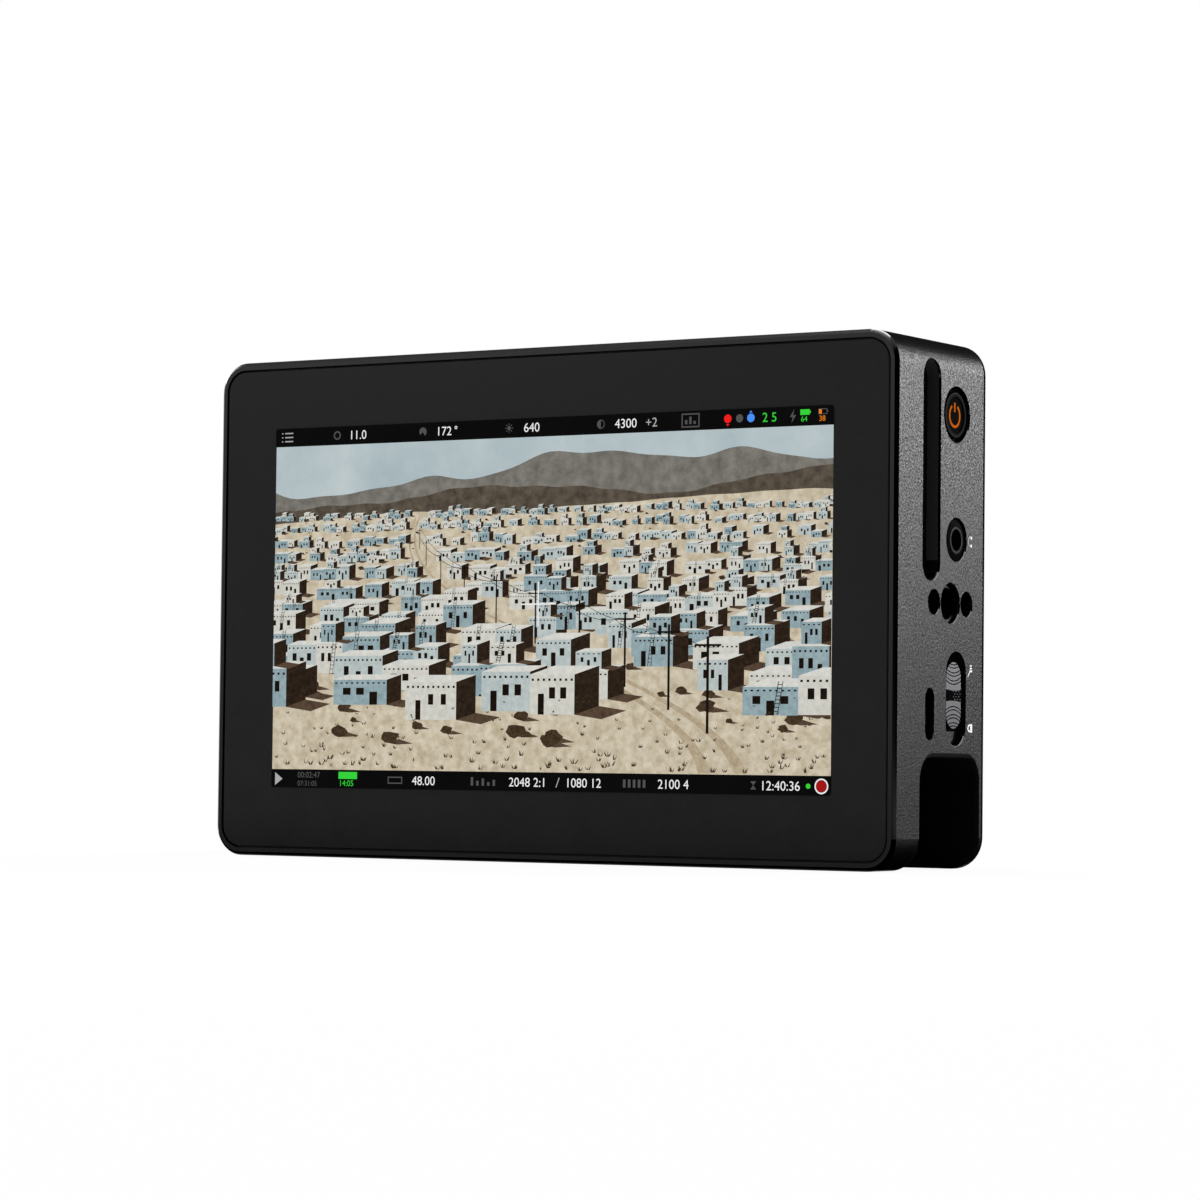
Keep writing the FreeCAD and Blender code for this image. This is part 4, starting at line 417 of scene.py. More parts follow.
# The pad is black, and the grooves are painted black as shade: the grooves lie below the ribs' face
# and the pad stands above it.
KNOB_FACE, FACE_HALF = 66.45, 0.03
tree = knob_zinc.node_tree
shader = tree.nodes["Principled BSDF"]
where = add(tree, "ShaderNodeSeparateXYZ", {0: tree.nodes["Texture Coordinate"].outputs["Object"]}).outputs
on_face = add(tree, "ShaderNodeMath", {
    0: where["X"], 1: KNOB_FACE * MM, 2: FACE_HALF * MM}, operation="COMPARE").outputs[0]
knob_tone_with_groove_shade = add(tree, "ShaderNodeMix", {
    0: on_face, FIRST: linear("#0a0a0b"), SECOND: shader.inputs["Base Color"].links[0].from_socket},
    data_type="RGBA")
tree.links.new(knob_tone_with_groove_shade.outputs[MIXED], shader.inputs["Base Color"])
tree.links.new(on_face, shader.inputs["Metallic"])
finish(knob_zinc, "touch_lock_knob")
finish(black_plastic, "touch_lock_actuator")
KNOB_Y, KNOB_Z, PAD_TOP, PAD_FRONT, PAD_BACK = 2.85, 28.1, 66.65, -0.9, 2.2
STUD, STUD_RISE, STUD_TAPER, STUD_SINK = 0.13, 0.12, 0.5, 0.01
STUD_PITCH, ROW_PITCH, STUD_ROWS = 0.92, 0.42, 4
STUD_CORNERS = ((-1, 0), (0, -1), (1, 0), (0, 1))
studs = bmesh.new()
for row in range(STUD_ROWS):
    for column in range(-2, 3):
        middle = Vector((PAD_TOP - STUD_SINK, KNOB_Y + STUD_PITCH * (column + 0.5 * (row % 2)),
                         KNOB_Z + ROW_PITCH * (row - (STUD_ROWS - 1) / 2)))
        # The pad's front part, where shade falls, has no studs and so no painted highlight.
        if not PAD_FRONT < middle.y - KNOB_Y < PAD_BACK:
            continue
        rim, crown = [
            [studs.verts.new((middle + RIGHTWARD * rise + (AWAY * y + UPWARD * z) * half) * MM)
             for y, z in STUD_CORNERS]
            for rise, half in ((0.0, STUD), (STUD_RISE, STUD * STUD_TAPER))]
        studs.faces.new(crown)
        studs.faces.new(rim[::-1])
        for at in range(len(STUD_CORNERS)):
            after = (at + 1) % len(STUD_CORNERS)
            studs.faces.new((rim[at], rim[after], crown[after], crown[at]))
# The studs are silicone rubber, painted pale grey as a highlight on their tips: dull, in patches
# 0.2 mm wide.
stud_highlight_rubber = grained("silicone_rubber_stud_highlight", "#5f6062", "#7d7e80", grain=0.2, rough=0.5, relief=0.004,
                      Specular_IOR_Level=0.1)
piece("touch_lock_studs", studs, stud_highlight_rubber, "touch_lock_slider")

# The cover glass is toughened, with a black border printed behind it and a coating against reflections. It
# lies on the foam tape in the body's rim.
# Glass, printed black behind: dark grey, with little gloss and faint clouds 6 mm wide.
printed_glass = grained("glass_toughened_printed_black", "#181818", "#1b1b1b", grain=6.0, rough=0.2,
                        spread=0.02, Specular_IOR_Level=0.1)
finish(printed_glass, "cover_glass")

# The picture is 5 inches across, and the panel reaches 2.2 mm beyond it. It shows a made-up town of pale cube
# houses on a sandy slope, with grey hills far behind. It is painted in layers from the back to the front,
# each a hair in front of the last.
PANEL_BORDER, PICTURE_SHIFT, BAR_HEIGHT = 2.2, 0.3, 3.15
LAYER, FILM = 0.0012, 0.0006
glass_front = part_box("cover_glass")[0].y / MM
panel_low, panel_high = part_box("lcd_panel")
corner = Vector((panel_low.x / MM + PANEL_BORDER + PICTURE_SHIFT, glass_front,
                 panel_low.z / MM + PANEL_BORDER))
wide = (panel_high.x - panel_low.x) / MM - 2 * PANEL_BORDER
high = (panel_high.z - panel_low.z) / MM - 2 * PANEL_BORDER
scene_low, scene_high = BAR_HEIGHT, high - BAR_HEIGHT
# A lit display: colour with its own light and no gloss. Each paint is two tones in patches so many mm wide.
PAINTS = {
    "sky": ("#a6b6bb", "#bec9cb", 14.0),
    "far_hills": ("#605e58", "#85827b", 2.2),
    "hills": ("#3f382f", "#655b4f", 1.5),
    "sand": ("#b0a288", "#d8ceb9", 1.5),
    "track": ("#a08f75", "#bfb298", 1.0),
    "shadow": ("#453629", "#5f4d3e", 0.9),
    "shade": ("#1d150f", "#35281d", 0.8),
    "roof": ("#c6c8c3", "#dedcd4", 1.2),
    "wall_blue": ("#7d949b", "#9db1b5", 1.0),
    "wall_pale": ("#a5b3b3", "#c1c9c6", 1.0),
    "wall_white": ("#bfbfb7", "#d8d6cd", 1.0),
    "dark": ("#0f0a07", "#1f1610", 0.6),
    "bush": ("#2a2016", "#51402e", 0.5)}
canvas = {name: bmesh.new() for name in PAINTS}


def clipped(shape):
    """What of a flat shape lies inside the picture."""
    for axis, limit, side in ((0, 0.0, 1), (0, wide, -1), (1, scene_low, 1), (1, scene_high, -1)):
        kept = []
        for here, there in zip(shape, shape[1:] + shape[:1]):
            inside, next_inside = (here[axis] - limit) * side, (there[axis] - limit) * side
            if inside >= 0:
                kept.append(here)
            if inside * next_inside < 0:
                kept.append(tuple(h + (t - h) * inside / (inside - next_inside) for h, t in zip(here, there)))
        shape = kept
    return shape


def paint(name, layer, shapes):
    seen = [part for part in (clipped(shape) for shape in shapes) if len(part) > 2]
    film(canvas[name], seen, corner - AWAY * LAYER * layer, RIGHTWARD, UPWARD, FILM)


def ridge(left, right, rough, foot):
    """A hill's outline: a rising line with waves of several lengths, down to a foot."""
    steps, lengths, longest, shorter = 70, 4, 0.07, 2.1
    waves = [(rough / 2 ** turn, draw.uniform(0.7, 1.3) * longest * shorter ** turn,
              draw.uniform(0, math.tau)) for turn in range(lengths)]
    line = [(wide * step / steps, left + (right - left) * step / steps
             + sum(tall * math.sin(pace * wide * step / steps + start) for tall, pace, start in waves))
            for step in range(steps + 1)]
    return [[a, b, (b[0], foot), (a[0], foot)] for a, b in zip(line, line[1:])]


draw = random.Random(11)
paint("sky", 1, [box_shape(0, scene_low, wide, scene_high)])
paint("far_hills", 2, ridge(51.5, 56.0, 1.6, 44))
paint("hills", 3, ridge(48.2, 51.6, 1.1, 42))
paint("sand", 4, ridge(45.6, 48.6, 0.4, scene_low))


def lane_at(near):
    """Where the lane through the town runs, from far off at 0 to the front at 1, and a house's size there."""
    across = 30 + 40 * near - 12 * math.sin(near * 4.2)
    up = 46.0 - 33.0 * near ** 1.15
    size = 1.25 + 7.0 * near ** 1.5
    return across, up, size


# Two ruts run along the lane, so many house sizes to each side of its middle.
LANE_STEPS, LANE_END, RUTS = 60, 1.25, ((-0.42, -0.2), (0.2, 0.42))
bends = [lane_at(LANE_END * step / LANE_STEPS) for step in range(LANE_STEPS + 1)]
for inner, outer in RUTS:
    paint("track", 5, [[(x + inner * size, y), (x + outer * size, y), (next_x + outer * next_size, next_y),
                        (next_x + inner * next_size, next_y)]
                       for (x, y, size), (next_x, next_y, next_size) in zip(bends, bends[1:])])
# The houses stand in rows. Their widths, heights, depths and gaps are shares of the row's house size.
ROWS, HOUSE_SPANS, GAPS = 12, ((0.75, 1.4), (0.5, 0.85), (0.35, 0.6)), (0.0, 0.0, 1.3, 2.4)
LANE_CLEAR, UPPER_CHANCE, UPPER_WIDTH, UPPER_SHARE, UPPER_BACK = 1.1, 0.35, 0.55, 0.6, 0.1
ROOF_LIFT, SHADOW_REACH, SHADOW_DROP, WALLS = 0.3, 0.8, 0.14, ("wall_blue", "wall_pale", "wall_white")
# A door, windows and roof beams, as shares of a wall's height, and a ladder, as shares of the house size.
DOOR, WINDOW, BEAM, BEAM_SPAN, BEAMS = (0.0, 0.52), (0.4, 0.68), (0.84, 0.9), (0.3, 0.7), 8
LADDER_CHANCE, LADDER_LEAN, LADDER_WIDTH, LADDER_RAIL, LADDER_OVER, RUNGS = 0.4, 0.12, 0.1, 0.016, 0.2, 9
SHOWS_BEAMS, SHOWS_LADDERS = 1.8, 2.5
# Bushes, and poles with their arms and wires, as shares of the house size.
BUSHES, BUSH_POINTS, LEAFY = 9, 11, (0.7, 1.2)
POLE_ASIDE, POLE_SINK, POLE_TALL, POLE_THICK = 0.85, 0.4, 1.9, 0.06
ARM_HALF, ARM_UP, ARM_THICK = 0.3, 0.9, 0.7
WIRE, WIRE_SAG, WIRE_STEPS = 0.1, 0.5, 8
layer, last_pole = 6, None
for row in range(ROWS):
    lane, base, size = lane_at(row / (ROWS - 1))
    storeys = [[], []]
    across = -size * draw.random()
    while across < wide:
        width, tall, deep = (size * draw.uniform(*span) for span in HOUSE_SPANS)
        foot = base + size * draw.uniform(-0.2, 0.2)
        if abs(across + width / 2 - lane) > size * LANE_CLEAR:
            storeys[0].append((across, foot, width, tall, deep))
            if draw.random() < UPPER_CHANCE:
                storeys[1].append((across + width * draw.uniform(0.1, 0.4), foot + tall + UPPER_BACK * deep,
                                   width * UPPER_WIDTH, tall * UPPER_SHARE, deep * UPPER_SHARE))
        across += width + deep * draw.choice(GAPS)
    for houses in storeys:
        for left, foot, width, tall, deep in houses:
            end, head, lift, cast = left + width, foot + tall, ROOF_LIFT * deep, SHADOW_REACH * tall
            drop = SHADOW_DROP * cast
            paint("shadow", layer + 1, [[(end, foot), (end + cast, foot - drop),
                                         (end + deep + cast, foot + lift - drop), (end + deep, foot + lift)]])
            paint("shade", layer + 2, [[(end, foot), (end + deep, foot + lift), (end + deep, head + lift),
                                        (end, head)]])
            paint("roof", layer + 3, [[(left, head), (end, head), (end + deep, head + lift),
                                       (left + deep, head + lift)]])
            paint(draw.choice(WALLS), layer + 4, [box_shape(left, foot, end, head)])
            door = draw.randrange(1, 4)
            pane = width * draw.uniform(0.05, 0.075)
            openings = []
            for bay in range(1, 4):
                middle, (sill, lintel) = left + width * bay / 4, DOOR if bay == door else WINDOW
                openings.append(box_shape(middle - pane, foot + sill * tall,
                                          middle + pane, foot + lintel * tall))
            if size > SHOWS_BEAMS:
                beams = int(width / size * BEAMS)
                openings += [box_shape(left + width * (beam + BEAM_SPAN[0]) / beams, foot + BEAM[0] * tall,
                                       left + width * (beam + BEAM_SPAN[1]) / beams, foot + BEAM[1] * tall)
                             for beam in range(beams)]
            if size > SHOWS_LADDERS and draw.random() < LADDER_CHANCE:
                start, lean = left + width * draw.uniform(0.1, 0.6), LADDER_LEAN * size
                rail, apart, top = LADDER_RAIL * size, LADDER_WIDTH * size, head + LADDER_OVER * tall
                openings += [[(start + side, foot), (start + side + rail, foot),
                              (start + side + lean + rail, top), (start + side + lean, top)]
                             for side in (0.0, apart)]
                for rung in range(1, RUNGS):
                    x, up = start + lean * rung / RUNGS, foot + (top - foot) * rung / RUNGS
                    openings.append(box_shape(x, up, x + apart, up + rail))
            paint("dark", layer + 5, openings)
        layer += 5
    layer += 1
    # Bushes grow between the houses, and a line of poles with two wires follows the lane.
    for _ in range(BUSHES):
        middle, foot = draw.uniform(0, wide), base - size * draw.uniform(0.3, 0.7)
        reach = size * draw.uniform(0.1, 0.26)
        blob = [(middle + reach * draw.uniform(*LEAFY) * math.cos(turn),
                 foot + 0.4 * reach + 0.6 * reach * draw.uniform(*LEAFY) * math.sin(turn))
                for turn in (math.tau * step / BUSH_POINTS for step in range(BUSH_POINTS))]
        paint("shadow", layer, [[(middle - 0.6 * reach, foot), (middle + 0.7 * reach, foot - 0.2 * reach),
                                 (middle + 2.4 * reach, foot - 0.1 * reach),
                                 (middle + 0.9 * reach, foot + 0.3 * reach)]])
        paint("bush", layer + 1, [blob])
    if row > 1:
        x, foot = lane + POLE_ASIDE * size, base - POLE_SINK * size
        tall, thick = POLE_TALL * size, POLE_THICK * size
        arm = foot + ARM_UP * tall
        pole = [(x - ARM_HALF * size, arm), (x + ARM_HALF * size, arm)]
        paint("dark", layer + 2, [box_shape(x - thick / 2, foot, x + thick / 2, foot + tall),
                                  box_shape(pole[0][0], arm, pole[1][0], arm + thick * ARM_THICK)])
        for here, there in zip(last_pole or pole, pole):
            wire = [(here[0] + (there[0] - here[0]) * way, here[1] + (there[1] - here[1]) * way
                     - WIRE_SAG * size * way * (1 - way))
                    for way in (step / WIRE_STEPS for step in range(WIRE_STEPS + 1))]
            paint("dark", layer + 2, [[a, b, (b[0], b[1] + WIRE), (a[0], a[1] + WIRE)]
                                      for a, b in zip(wire, wire[1:]) if a != b])
        last_pole = pole
    layer += 3

# Low dry tufts grow on the sand in front of the town, larger towards the front.
TUFTS, TUFT_BASE, BLADE_HALF = 190, 0.4, 0.12
for _ in range(TUFTS):
    across, foot = draw.uniform(1.0, wide - 1.0), scene_low + 0.3 + 12.0 * draw.random() ** 1.7
    size = TUFT_BASE + 0.05 * (16.0 - foot) * draw.uniform(0.6, 1.3)
    for _ in range(draw.randrange(4, 8)):
        lean = draw.uniform(-0.9, 0.9)
        root = across + 0.3 * size * lean
        paint("bush", layer, [[(root - BLADE_HALF * size, foot), (root + BLADE_HALF * size, foot),
                               (across + size * lean, foot + size * draw.uniform(0.5, 1.0))]])
for name, tones in PAINTS.items():
    piece("picture_" + name, canvas[name], lit("display_lit_" + name, *tones), "monitor")

# The readouts are shown on two black bars over the picture, above and below: plain numbers, each with a small
# sign, and round lamps. The bars' outer corners are rounded.
bar_layer = layer + 1
CORNER, CORNER_CUT = 0.45, 0.135
bars = []
for inner, outer, inward in ((high - BAR_HEIGHT, high, -1), (BAR_HEIGHT, 0.0, 1)):
    bars.append([(0, inner), (0, outer + inward * CORNER), (CORNER_CUT, outer + inward * CORNER_CUT),
                 (CORNER, outer), (wide - CORNER, outer), (wide - CORNER_CUT, outer + inward * CORNER_CUT),
                 (wide, outer + inward * CORNER), (wide, inner)])
black_bars = film(bmesh.new(), bars, corner - AWAY * LAYER * bar_layer, RIGHTWARD, UPWARD, FILM)
# A display that is lit but shows black: it leaks a little light, in clouds 5 mm wide.
lit_black = lit("display_lit_black", "#070707", "#0a0a0a", grain=5.0)
piece("readout_bars", black_bars, lit_black, "monitor")


def readouts(name, colour, shapes, texts):
    """Shapes and plain numbers of one colour on the bars. A text is (text, left, foot, height) in mm."""
    digit_share = 0.7
    mesh = film(bmesh.new(), shapes, corner - AWAY * LAYER * (bar_layer + 1), RIGHTWARD, UPWARD, FILM)
    for text, left, foot, tall in texts:
        curve = bpy.data.curves.new("digits", "FONT")
        curve.body = text
        curve.size = tall / digit_share
        curve.extrude = FILM / 2
        holder = bpy.data.objects.new("digits", curve)
        flat = bpy.data.meshes.new_from_object(holder)
        origin = corner + RIGHTWARD * left + UPWARD * foot - AWAY * (LAYER * (bar_layer + 1) + FILM / 2)
        upright = Matrix.Rotation(math.pi / 2, 4, "X")
        flat.transform(Matrix.Scale(MM, 4) @ Matrix.Translation(origin) @ upright)
        mesh.from_mesh(flat)
        bpy.data.objects.remove(holder)
        bpy.data.meshes.remove(flat)
        bpy.data.curves.remove(curve)
    piece(name, mesh, lit("display_lit_" + name, colour), "monitor")


def disc_shape(across, up, radius, steps=28):
    turns = [math.tau * step / steps for step in range(steps)]
    return [(across + radius * math.cos(t), up + radius * math.sin(t)) for t in turns]


def ring_shapes(across, up, inner, outer):
    return [band_shape(across, up, inner, outer, start, start + 180) for start in (0, 180)]


def frame_shapes(left, low, right, top, line):
    return [box_shape(left, low, right, low + line), box_shape(left, top - line, right, top),
            box_shape(left, low + line, left + line, top - line),
            box_shape(right - line, low + line, right, top - line)]


# The middle heights of the two bars, and the digits' two sizes. Each readout's place is in mm from the left.
TOP, FOOT, DIGIT, SMALL, TALLER = 60.42, 1.5, 1.5, 0.85, 1.15
top_foot, low_foot = TOP - DIGIT / 2, FOOT - DIGIT / 2
centre_cross = [box_shape(51.2, 30.88, 58.2, 31.1), box_shape(54.58, 27.3, 54.8, 30.88),
                box_shape(54.58, 31.1, 54.8, 34.7)]
degree = ring_shapes(37.75, top_foot + 1.25, 0.14, 0.28)
record_ring = ring_shapes(108.6, FOOT, 1.0, 1.24)
readouts("readout_white", "#ececec", centre_cross + degree + record_ring,
         [("11.0", 15.6, top_foot, DIGIT), ("172", 33.7, top_foot, DIGIT), ("640", 51.4, top_foot, DIGIT),
          ("4300", 69.3, top_foot, DIGIT), ("48.00", 29.6, low_foot, DIGIT),
          ("2048 2:1", 49.2, low_foot, DIGIT), ("1080 12", 60.4, low_foot, DIGIT),
          ("2100 4", 78.2, low_foot, DIGIT), ("12:40:36", 97.4, low_foot, DIGIT)])
menu = [box_shape(left, TOP + shift, right, TOP + shift + 0.2)
        for left, right in ((1.95, 3.7), (1.3, 1.55)) for shift in (-0.8, -0.1, 0.6)]
play = [[(0.8, FOOT - 1.1), (2.4, FOOT), (0.8, FOOT + 1.1)]]
slash = [[(58.5, FOOT - 0.8), (58.68, FOOT - 0.8), (59.3, FOOT + 0.8), (59.12, FOOT + 0.8)]]
readouts("readout_pale", "#a9a9a9", menu + play + slash, [("+2", 75.2, top_foot, DIGIT)])
iris = ring_shapes(13.1, TOP, 0.5, 0.75)
shutter = [band_shape(31.0, TOP, 0.0, 0.75, -60, 220)]
SUN, RAYS = 48.5, 8
sun = [disc_shape(SUN, TOP, 0.36)] + [
    [(SUN + near * math.cos(t) + side * math.sin(t), TOP + near * math.sin(t) - side * math.cos(t))
     for near, side in ((0.5, -0.07), (0.5, 0.07), (0.8, 0.07), (0.8, -0.07))]
    for t in (math.tau * ray / RAYS for ray in range(RAYS))]
half_moon = [band_shape(66.6, TOP, 0.0, 0.75, 90, 270), band_shape(66.6, TOP, 0.6, 0.75, -90, 90)]
chart = frame_shapes(82.1, TOP - 1.15, 85.5, TOP + 1.15, 0.22) + [
    box_shape(82.75, TOP - 0.6, 83.2, TOP + 0.1), box_shape(83.55, TOP - 0.6, 84.0, TOP + 0.6),
    box_shape(84.35, TOP - 0.6, 84.8, TOP - 0.1)]
dim_lamp = [disc_shape(93.0, TOP, 0.66)]
bolt = [[(102.3, TOP - 0.15), (103.1, TOP + 1.1), (102.9, TOP + 0.15), (103.45, TOP + 0.15),
         (102.6, TOP - 1.1), (102.8, TOP - 0.15)]]
low_battery = frame_shapes(107.5, TOP + 0.1, 109.1, TOP + 1.0, 0.12) + [
    box_shape(109.1, TOP + 0.35, 109.25, TOP + 0.75)]
clip = frame_shapes(24.6, FOOT - 0.6, 27.6, FOOT + 0.6, 0.2)
levels = [box_shape(41.6 + 1.1 * bar, FOOT - 0.7, 42.1 + 1.1 * bar, FOOT + rise)
          for bar, rise in enumerate((0.7, 0.1, 0.5, -0.1, 0.3))]
slats = [box_shape(71.6 + 0.95 * slat, FOOT - 0.65, 72.1 + 0.95 * slat, FOOT + 0.65) for slat in range(5)]
hourglass = [[(95.6, FOOT - 0.65), (96.7, FOOT - 0.65), (96.15, FOOT)],
             [(95.6, FOOT + 0.65), (96.15, FOOT), (96.7, FOOT + 0.65)]]
readouts("readout_grey", "#505050",
         iris + shutter + sun + half_moon + chart + dim_lamp + bolt + low_battery + clip + levels + slats
         + hourglass,
         [("00:02:47", 5.6, FOOT + 0.25, SMALL * TALLER), ("07:31:05", 5.6, FOOT - 1.15, SMALL)])
battery = [box_shape(104.2, TOP + 0.1, 105.9, TOP + 1.0), box_shape(105.9, TOP + 0.35, 106.1, TOP + 0.75)]
ready_lamp = [disc_shape(106.2, FOOT, 0.42)]
card = [box_shape(14.3, FOOT + 0.1, 18.2, FOOT + 1.3)]
readouts("readout_green", "#35d23a", battery + ready_lamp + card,
         [("2 5", 97.2, top_foot, DIGIT), ("64", 104.3, TOP - 0.95, SMALL),
          ("14:05", 14.4, FOOT - 1.1, SMALL * TALLER)])
readouts("readout_orange", "#ee8122", [box_shape(107.6, TOP + 0.2, 108.1, TOP + 0.9)],
         [("38", 107.6, TOP - 0.95, SMALL)])
readouts("readout_red", "#ef1f1f", [
    disc_shape(90.8, TOP, 0.7), [(90.5, TOP - 0.85), (90.8, TOP - 1.2), (91.1, TOP - 0.85)]], [])
readouts("readout_blue", "#4a8ff2", [
    disc_shape(95.1, TOP, 0.7), [(94.8, TOP + 0.85), (95.4, TOP + 0.85), (95.1, TOP + 1.2)]], [])
readouts("readout_record", "#a01515", [disc_shape(108.6, FOOT, 0.95)], [])

# The rear side: a cover, milled and finished as the body is and held by black screws, and a moulded battery
# plate with hooks, gold-plated contacts and a latch on a leaf spring.
# Steel, black oxide: a dark metal sheen. The crystals are far below 0.1 mm and are drawn at 0.4 mm.
black_oxide = grained("steel_black_oxide", "#131315", "#232326", grain=0.4, rough=0.36, spread=0.06,
                      relief=0.003, Metallic=1.0)
# Glass-filled nylon, moulded: matt black, faintly mottled by its fibres, which are about 0.3 mm long and are
# drawn at 0.5 mm.
glass_filled_nylon = grained("nylon_glass_filled_moulded", "#101011", "#1c1c1d", grain=0.5, rough=0.52,
                             spread=0.06, relief=0.008)
# Phosphor bronze, gold-plated: bright yellow. The sheet's grain, about 0.05 mm, is drawn at 0.4 mm.
gold_plate = grained("phosphor_bronze_gold_plated", "#c79a3e", "#dcb35a", grain=0.4, rough=0.24, relief=0.001,
                     Metallic=1.0)
# Spring steel, rolled: a grey sheen. The marks of the rolls, about 0.05 mm, are drawn at 0.4 mm.
spring_steel = grained("spring_steel_rolled", "#77797c", "#8f9194", grain=0.4, rough=0.3, relief=0.002,
                       Metallic=1.0)
finish(blasted_aluminium, "rear_cover")
finish(black_oxide, "rear_cover_screws", "battery_plate_screws")
finish(glass_filled_nylon, "battery_plate", "battery_latch", "battery_latch_bracket")
finish(gold_plate, "battery_contacts")
finish(spring_steel, "battery_latch_spring")

# Small signs are screen-printed on the right side, turned to read from behind: headphones, a padlock and a
# pointing finger. Their points are in mm on the side's face.
SIDE, INK_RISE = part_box("housing")[1].x / MM, 0.02
headphones = [band_shape(7.7, 53.1, 0.82, 0.88, 110, 250), box_shape(7.62, 53.5, 8.1, 53.92),
              box_shape(7.62, 52.2, 8.1, 52.62)]
padlock = [band_shape(7.6, 22.87, 0.34, 0.62, 90, 270), box_shape(7.6, 23.21, 8.0, 23.49),
           box_shape(7.6, 22.25, 8.0, 22.53), box_shape(7.9, 22.18, 8.6, 23.56)]
finger = [box_shape(7.6, 31.95, 8.4, 32.25), box_shape(7.7, 32.4, 8.3, 32.68),
          box_shape(7.75, 32.83, 8.25, 33.1), [(6.85, 31.22), (6.98, 31.1), (7.75, 31.95), (7.6, 32.1)]]
side_signs = film(bmesh.new(), headphones + padlock + finger, RIGHTWARD * SIDE, AWAY, UPWARD, INK_RISE)
# Screen ink: matt white, with a cover that is slightly uneven over 0.2 mm.
ink = grained("screen_ink_white", "#d8d8d6", "#eeeeec", grain=0.2, rough=0.6, relief=0.001)
piece("side_signs", side_signs, ink, "monitor")

# The studio has a white surround that lights the object weakly. The floor is pale paper that glows white
# for rays that see the background: a painted light, which grows farther from the object until the floor is
# as white as the surround.


def background_rays(tree):
    """1 for rays that see the background: from the camera, off gloss or through glass."""
    path = add(tree, "ShaderNodeLightPath")
    seen = add(tree, "ShaderNodeMath", {
        0: path.outputs["Is Camera Ray"], 1: path.outputs["Is Glossy Ray"]}, operation="MAXIMUM")
    return add(tree, "ShaderNodeMath", {
        0: seen.outputs[0], 1: path.outputs["Is Transmission Ray"]}, operation="MAXIMUM").outputs[0]


world = bpy.data.worlds.new("studio")
bpy.context.scene.world = world
world.use_nodes = True
tree = world.node_tree
tree.nodes.clear()
dim = add(tree, "ShaderNodeBackground", {"Color": linear("#ffffff"), "Strength": 0.4})
white = add(tree, "ShaderNodeBackground", {"Color": linear("#ffffff"), "Strength": 1.0})
both = add(tree, "ShaderNodeMixShader", {0: background_rays(tree), 1: dim.outputs[0], 2: white.outputs[0]})
add(tree, "ShaderNodeOutputWorld", {"Surface": both.outputs[0]})
# Paper: pale and matt, without gloss.
floor_paper, tree = new_material("paper_pale_matt")
paper = add(tree, "ShaderNodeBsdfPrincipled", {"Base Color": linear("#f4f4f2"), "Roughness": 0.9})
glow = add(tree, "ShaderNodeEmission", {"Color": linear("#ffffff"), "Strength": 1.0})
spot = add(tree, "ShaderNodeTexCoord")
distance = add(tree, "ShaderNodeVectorMath", {0: spot.outputs["Object"]}, operation="LENGTH")
whiter = add(tree, "ShaderNodeMapRange", {
    "Value": distance.outputs["Value"], "From Min": 0.1, "From Max": 0.8, "To Min": 0.93, "To Max": 1.0})
share = add(tree, "ShaderNodeMath", {0: background_rays(tree), 1: whiter.outputs[0]}, operation="MULTIPLY")
mix = add(tree, "ShaderNodeMixShader", {0: share.outputs[0], 1: paper.outputs[0], 2: glow.outputs[0]})
add(tree, "ShaderNodeOutputMaterial", {"Surface": mix.outputs[0]})
FLOOR = 30.0


def studio_card(name, corners, material):
    """A flat piece of the studio, with its corners in metres."""
    data = bpy.data.meshes.new(name)
    data.from_pydata(corners, [], [range(len(corners))])
    data.materials.append(material)
    laid = bpy.data.objects.new(name, data)
    bpy.context.collection.objects.link(laid)
    return laid


floor = studio_card("floor", [(x, y, 0) for x, y in box_shape(-FLOOR, -FLOOR, FLOOR, FLOOR)], floor_paper)

# Flags of black velvet stand and lie outside the picture, as in a product studio. They keep the white
# surround out of the sheen of the body's edges.
# Velvet: dull and black.
velvet = grained("velvet_black", "#030303", "#060606", grain=2.0, rough=0.95, spread=0.02,
                 Specular_IOR_Level=0.0)
LAID = 0.0002
for name, corners in (
        ("front_flag", ((0.9, -2.2, 0.0), (2.4, 0.3, 0.0), (2.4, 0.3, 1.6), (0.9, -2.2, 1.6))),
        ("rear_flag", ((-2.6, 2.4, 0.0), (2.6, 2.0, 0.0), (2.6, 2.0, 2.6), (-2.6, 2.4, 2.6))),
        ("floor_flag", ((-0.4, -0.12, LAID), (1.8, -0.12, LAID), (1.8, 2.0, LAID), (0.064, 2.0, LAID),
                        (0.064, 0.01, LAID), (-0.4, 0.01, LAID)))):
    flag = studio_card(name, corners, velvet)
    flag.visible_camera = flag.visible_diffuse = flag.visible_shadow = False

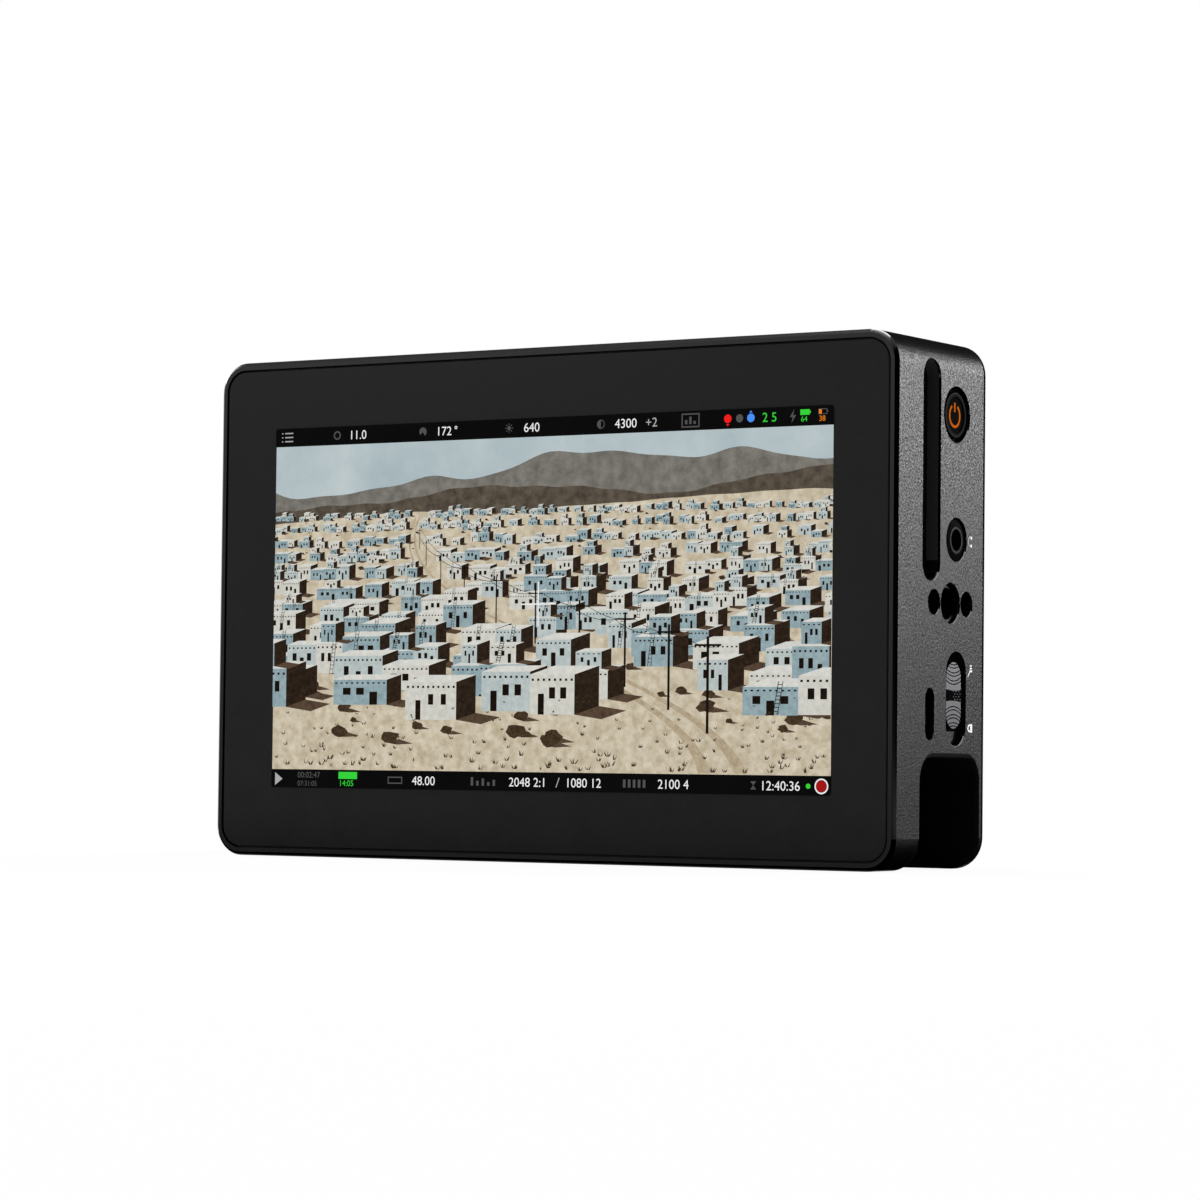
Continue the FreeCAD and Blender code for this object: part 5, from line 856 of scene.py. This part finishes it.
# Two soft boxes behind on the right give the side its sheen, and a narrow one overhead lights the rim's upper
# edge. Two weak ones lift the front and the back.
for name, place, aim, width, height, watts in (
        ("side_soft_box", (0.612, 0.793, 0.241), (0.067, 0.0, 0.05), 0.12, 0.2, 7.2),
        ("side_high_soft_box", (0.4, 0.89, 0.41), (0.067, 0.0, 0.08), 0.1, 0.14, 3.1),
        ("front_soft_box", (-0.45, -0.55, 0.32), (-0.03, 0.0, 0.06), 0.25, 0.25, 0.7),
        ("top_soft_box", (0.02, -0.069, 0.64), (0.053, 0.0045, 0.08), 0.46, 0.05, 1.8),
        ("rear_soft_box", (-1.2, 0.55, 0.6), (0.0, 0.0, 0.04), 0.6, 0.6, 9.0)):
    lamp = bpy.data.lights.new(name, "AREA")
    lamp.shape = "RECTANGLE"
    lamp.size, lamp.size_y, lamp.energy = width, height, watts
    holder = bpy.data.objects.new(name, lamp)
    holder.location = place
    holder.rotation_euler = (Vector(aim) - Vector(place)).to_track_quat("-Z", "Y").to_euler()
    holder.visible_camera = False
    bpy.context.collection.objects.link(holder)

# The camera stands where the photograph's camera stood: low, in front on the right, looking slightly up. Its
# place is in mm, and its lens is long, so the object's edges stay nearly parallel.
LENS, SENSOR, STAND = 119.19, 36.0, Vector((360.6, -567.72, 17.18))
YAW, PITCH, ROLL = math.radians(32.37), math.radians(2.30), math.radians(0.61)
forward = Vector((-math.sin(YAW), math.cos(YAW), 0)) * math.cos(PITCH) + UPWARD * math.sin(PITCH)
level = Vector((math.cos(YAW), math.sin(YAW), 0))
over = level.cross(forward)
turned = level * math.cos(ROLL) + over * math.sin(ROLL)
lens = bpy.data.cameras.new("camera")
lens.sensor_width, lens.lens = SENSOR, LENS
camera = bpy.data.objects.new("camera", lens)
camera.matrix_world = Matrix.Translation(STAND * MM) @ Matrix(
    (turned, turned.cross(forward), -forward)).transposed().to_4x4()
bpy.context.collection.objects.link(camera)
bpy.context.scene.camera = camera
bpy.context.scene.view_settings.view_transform = "Standard"
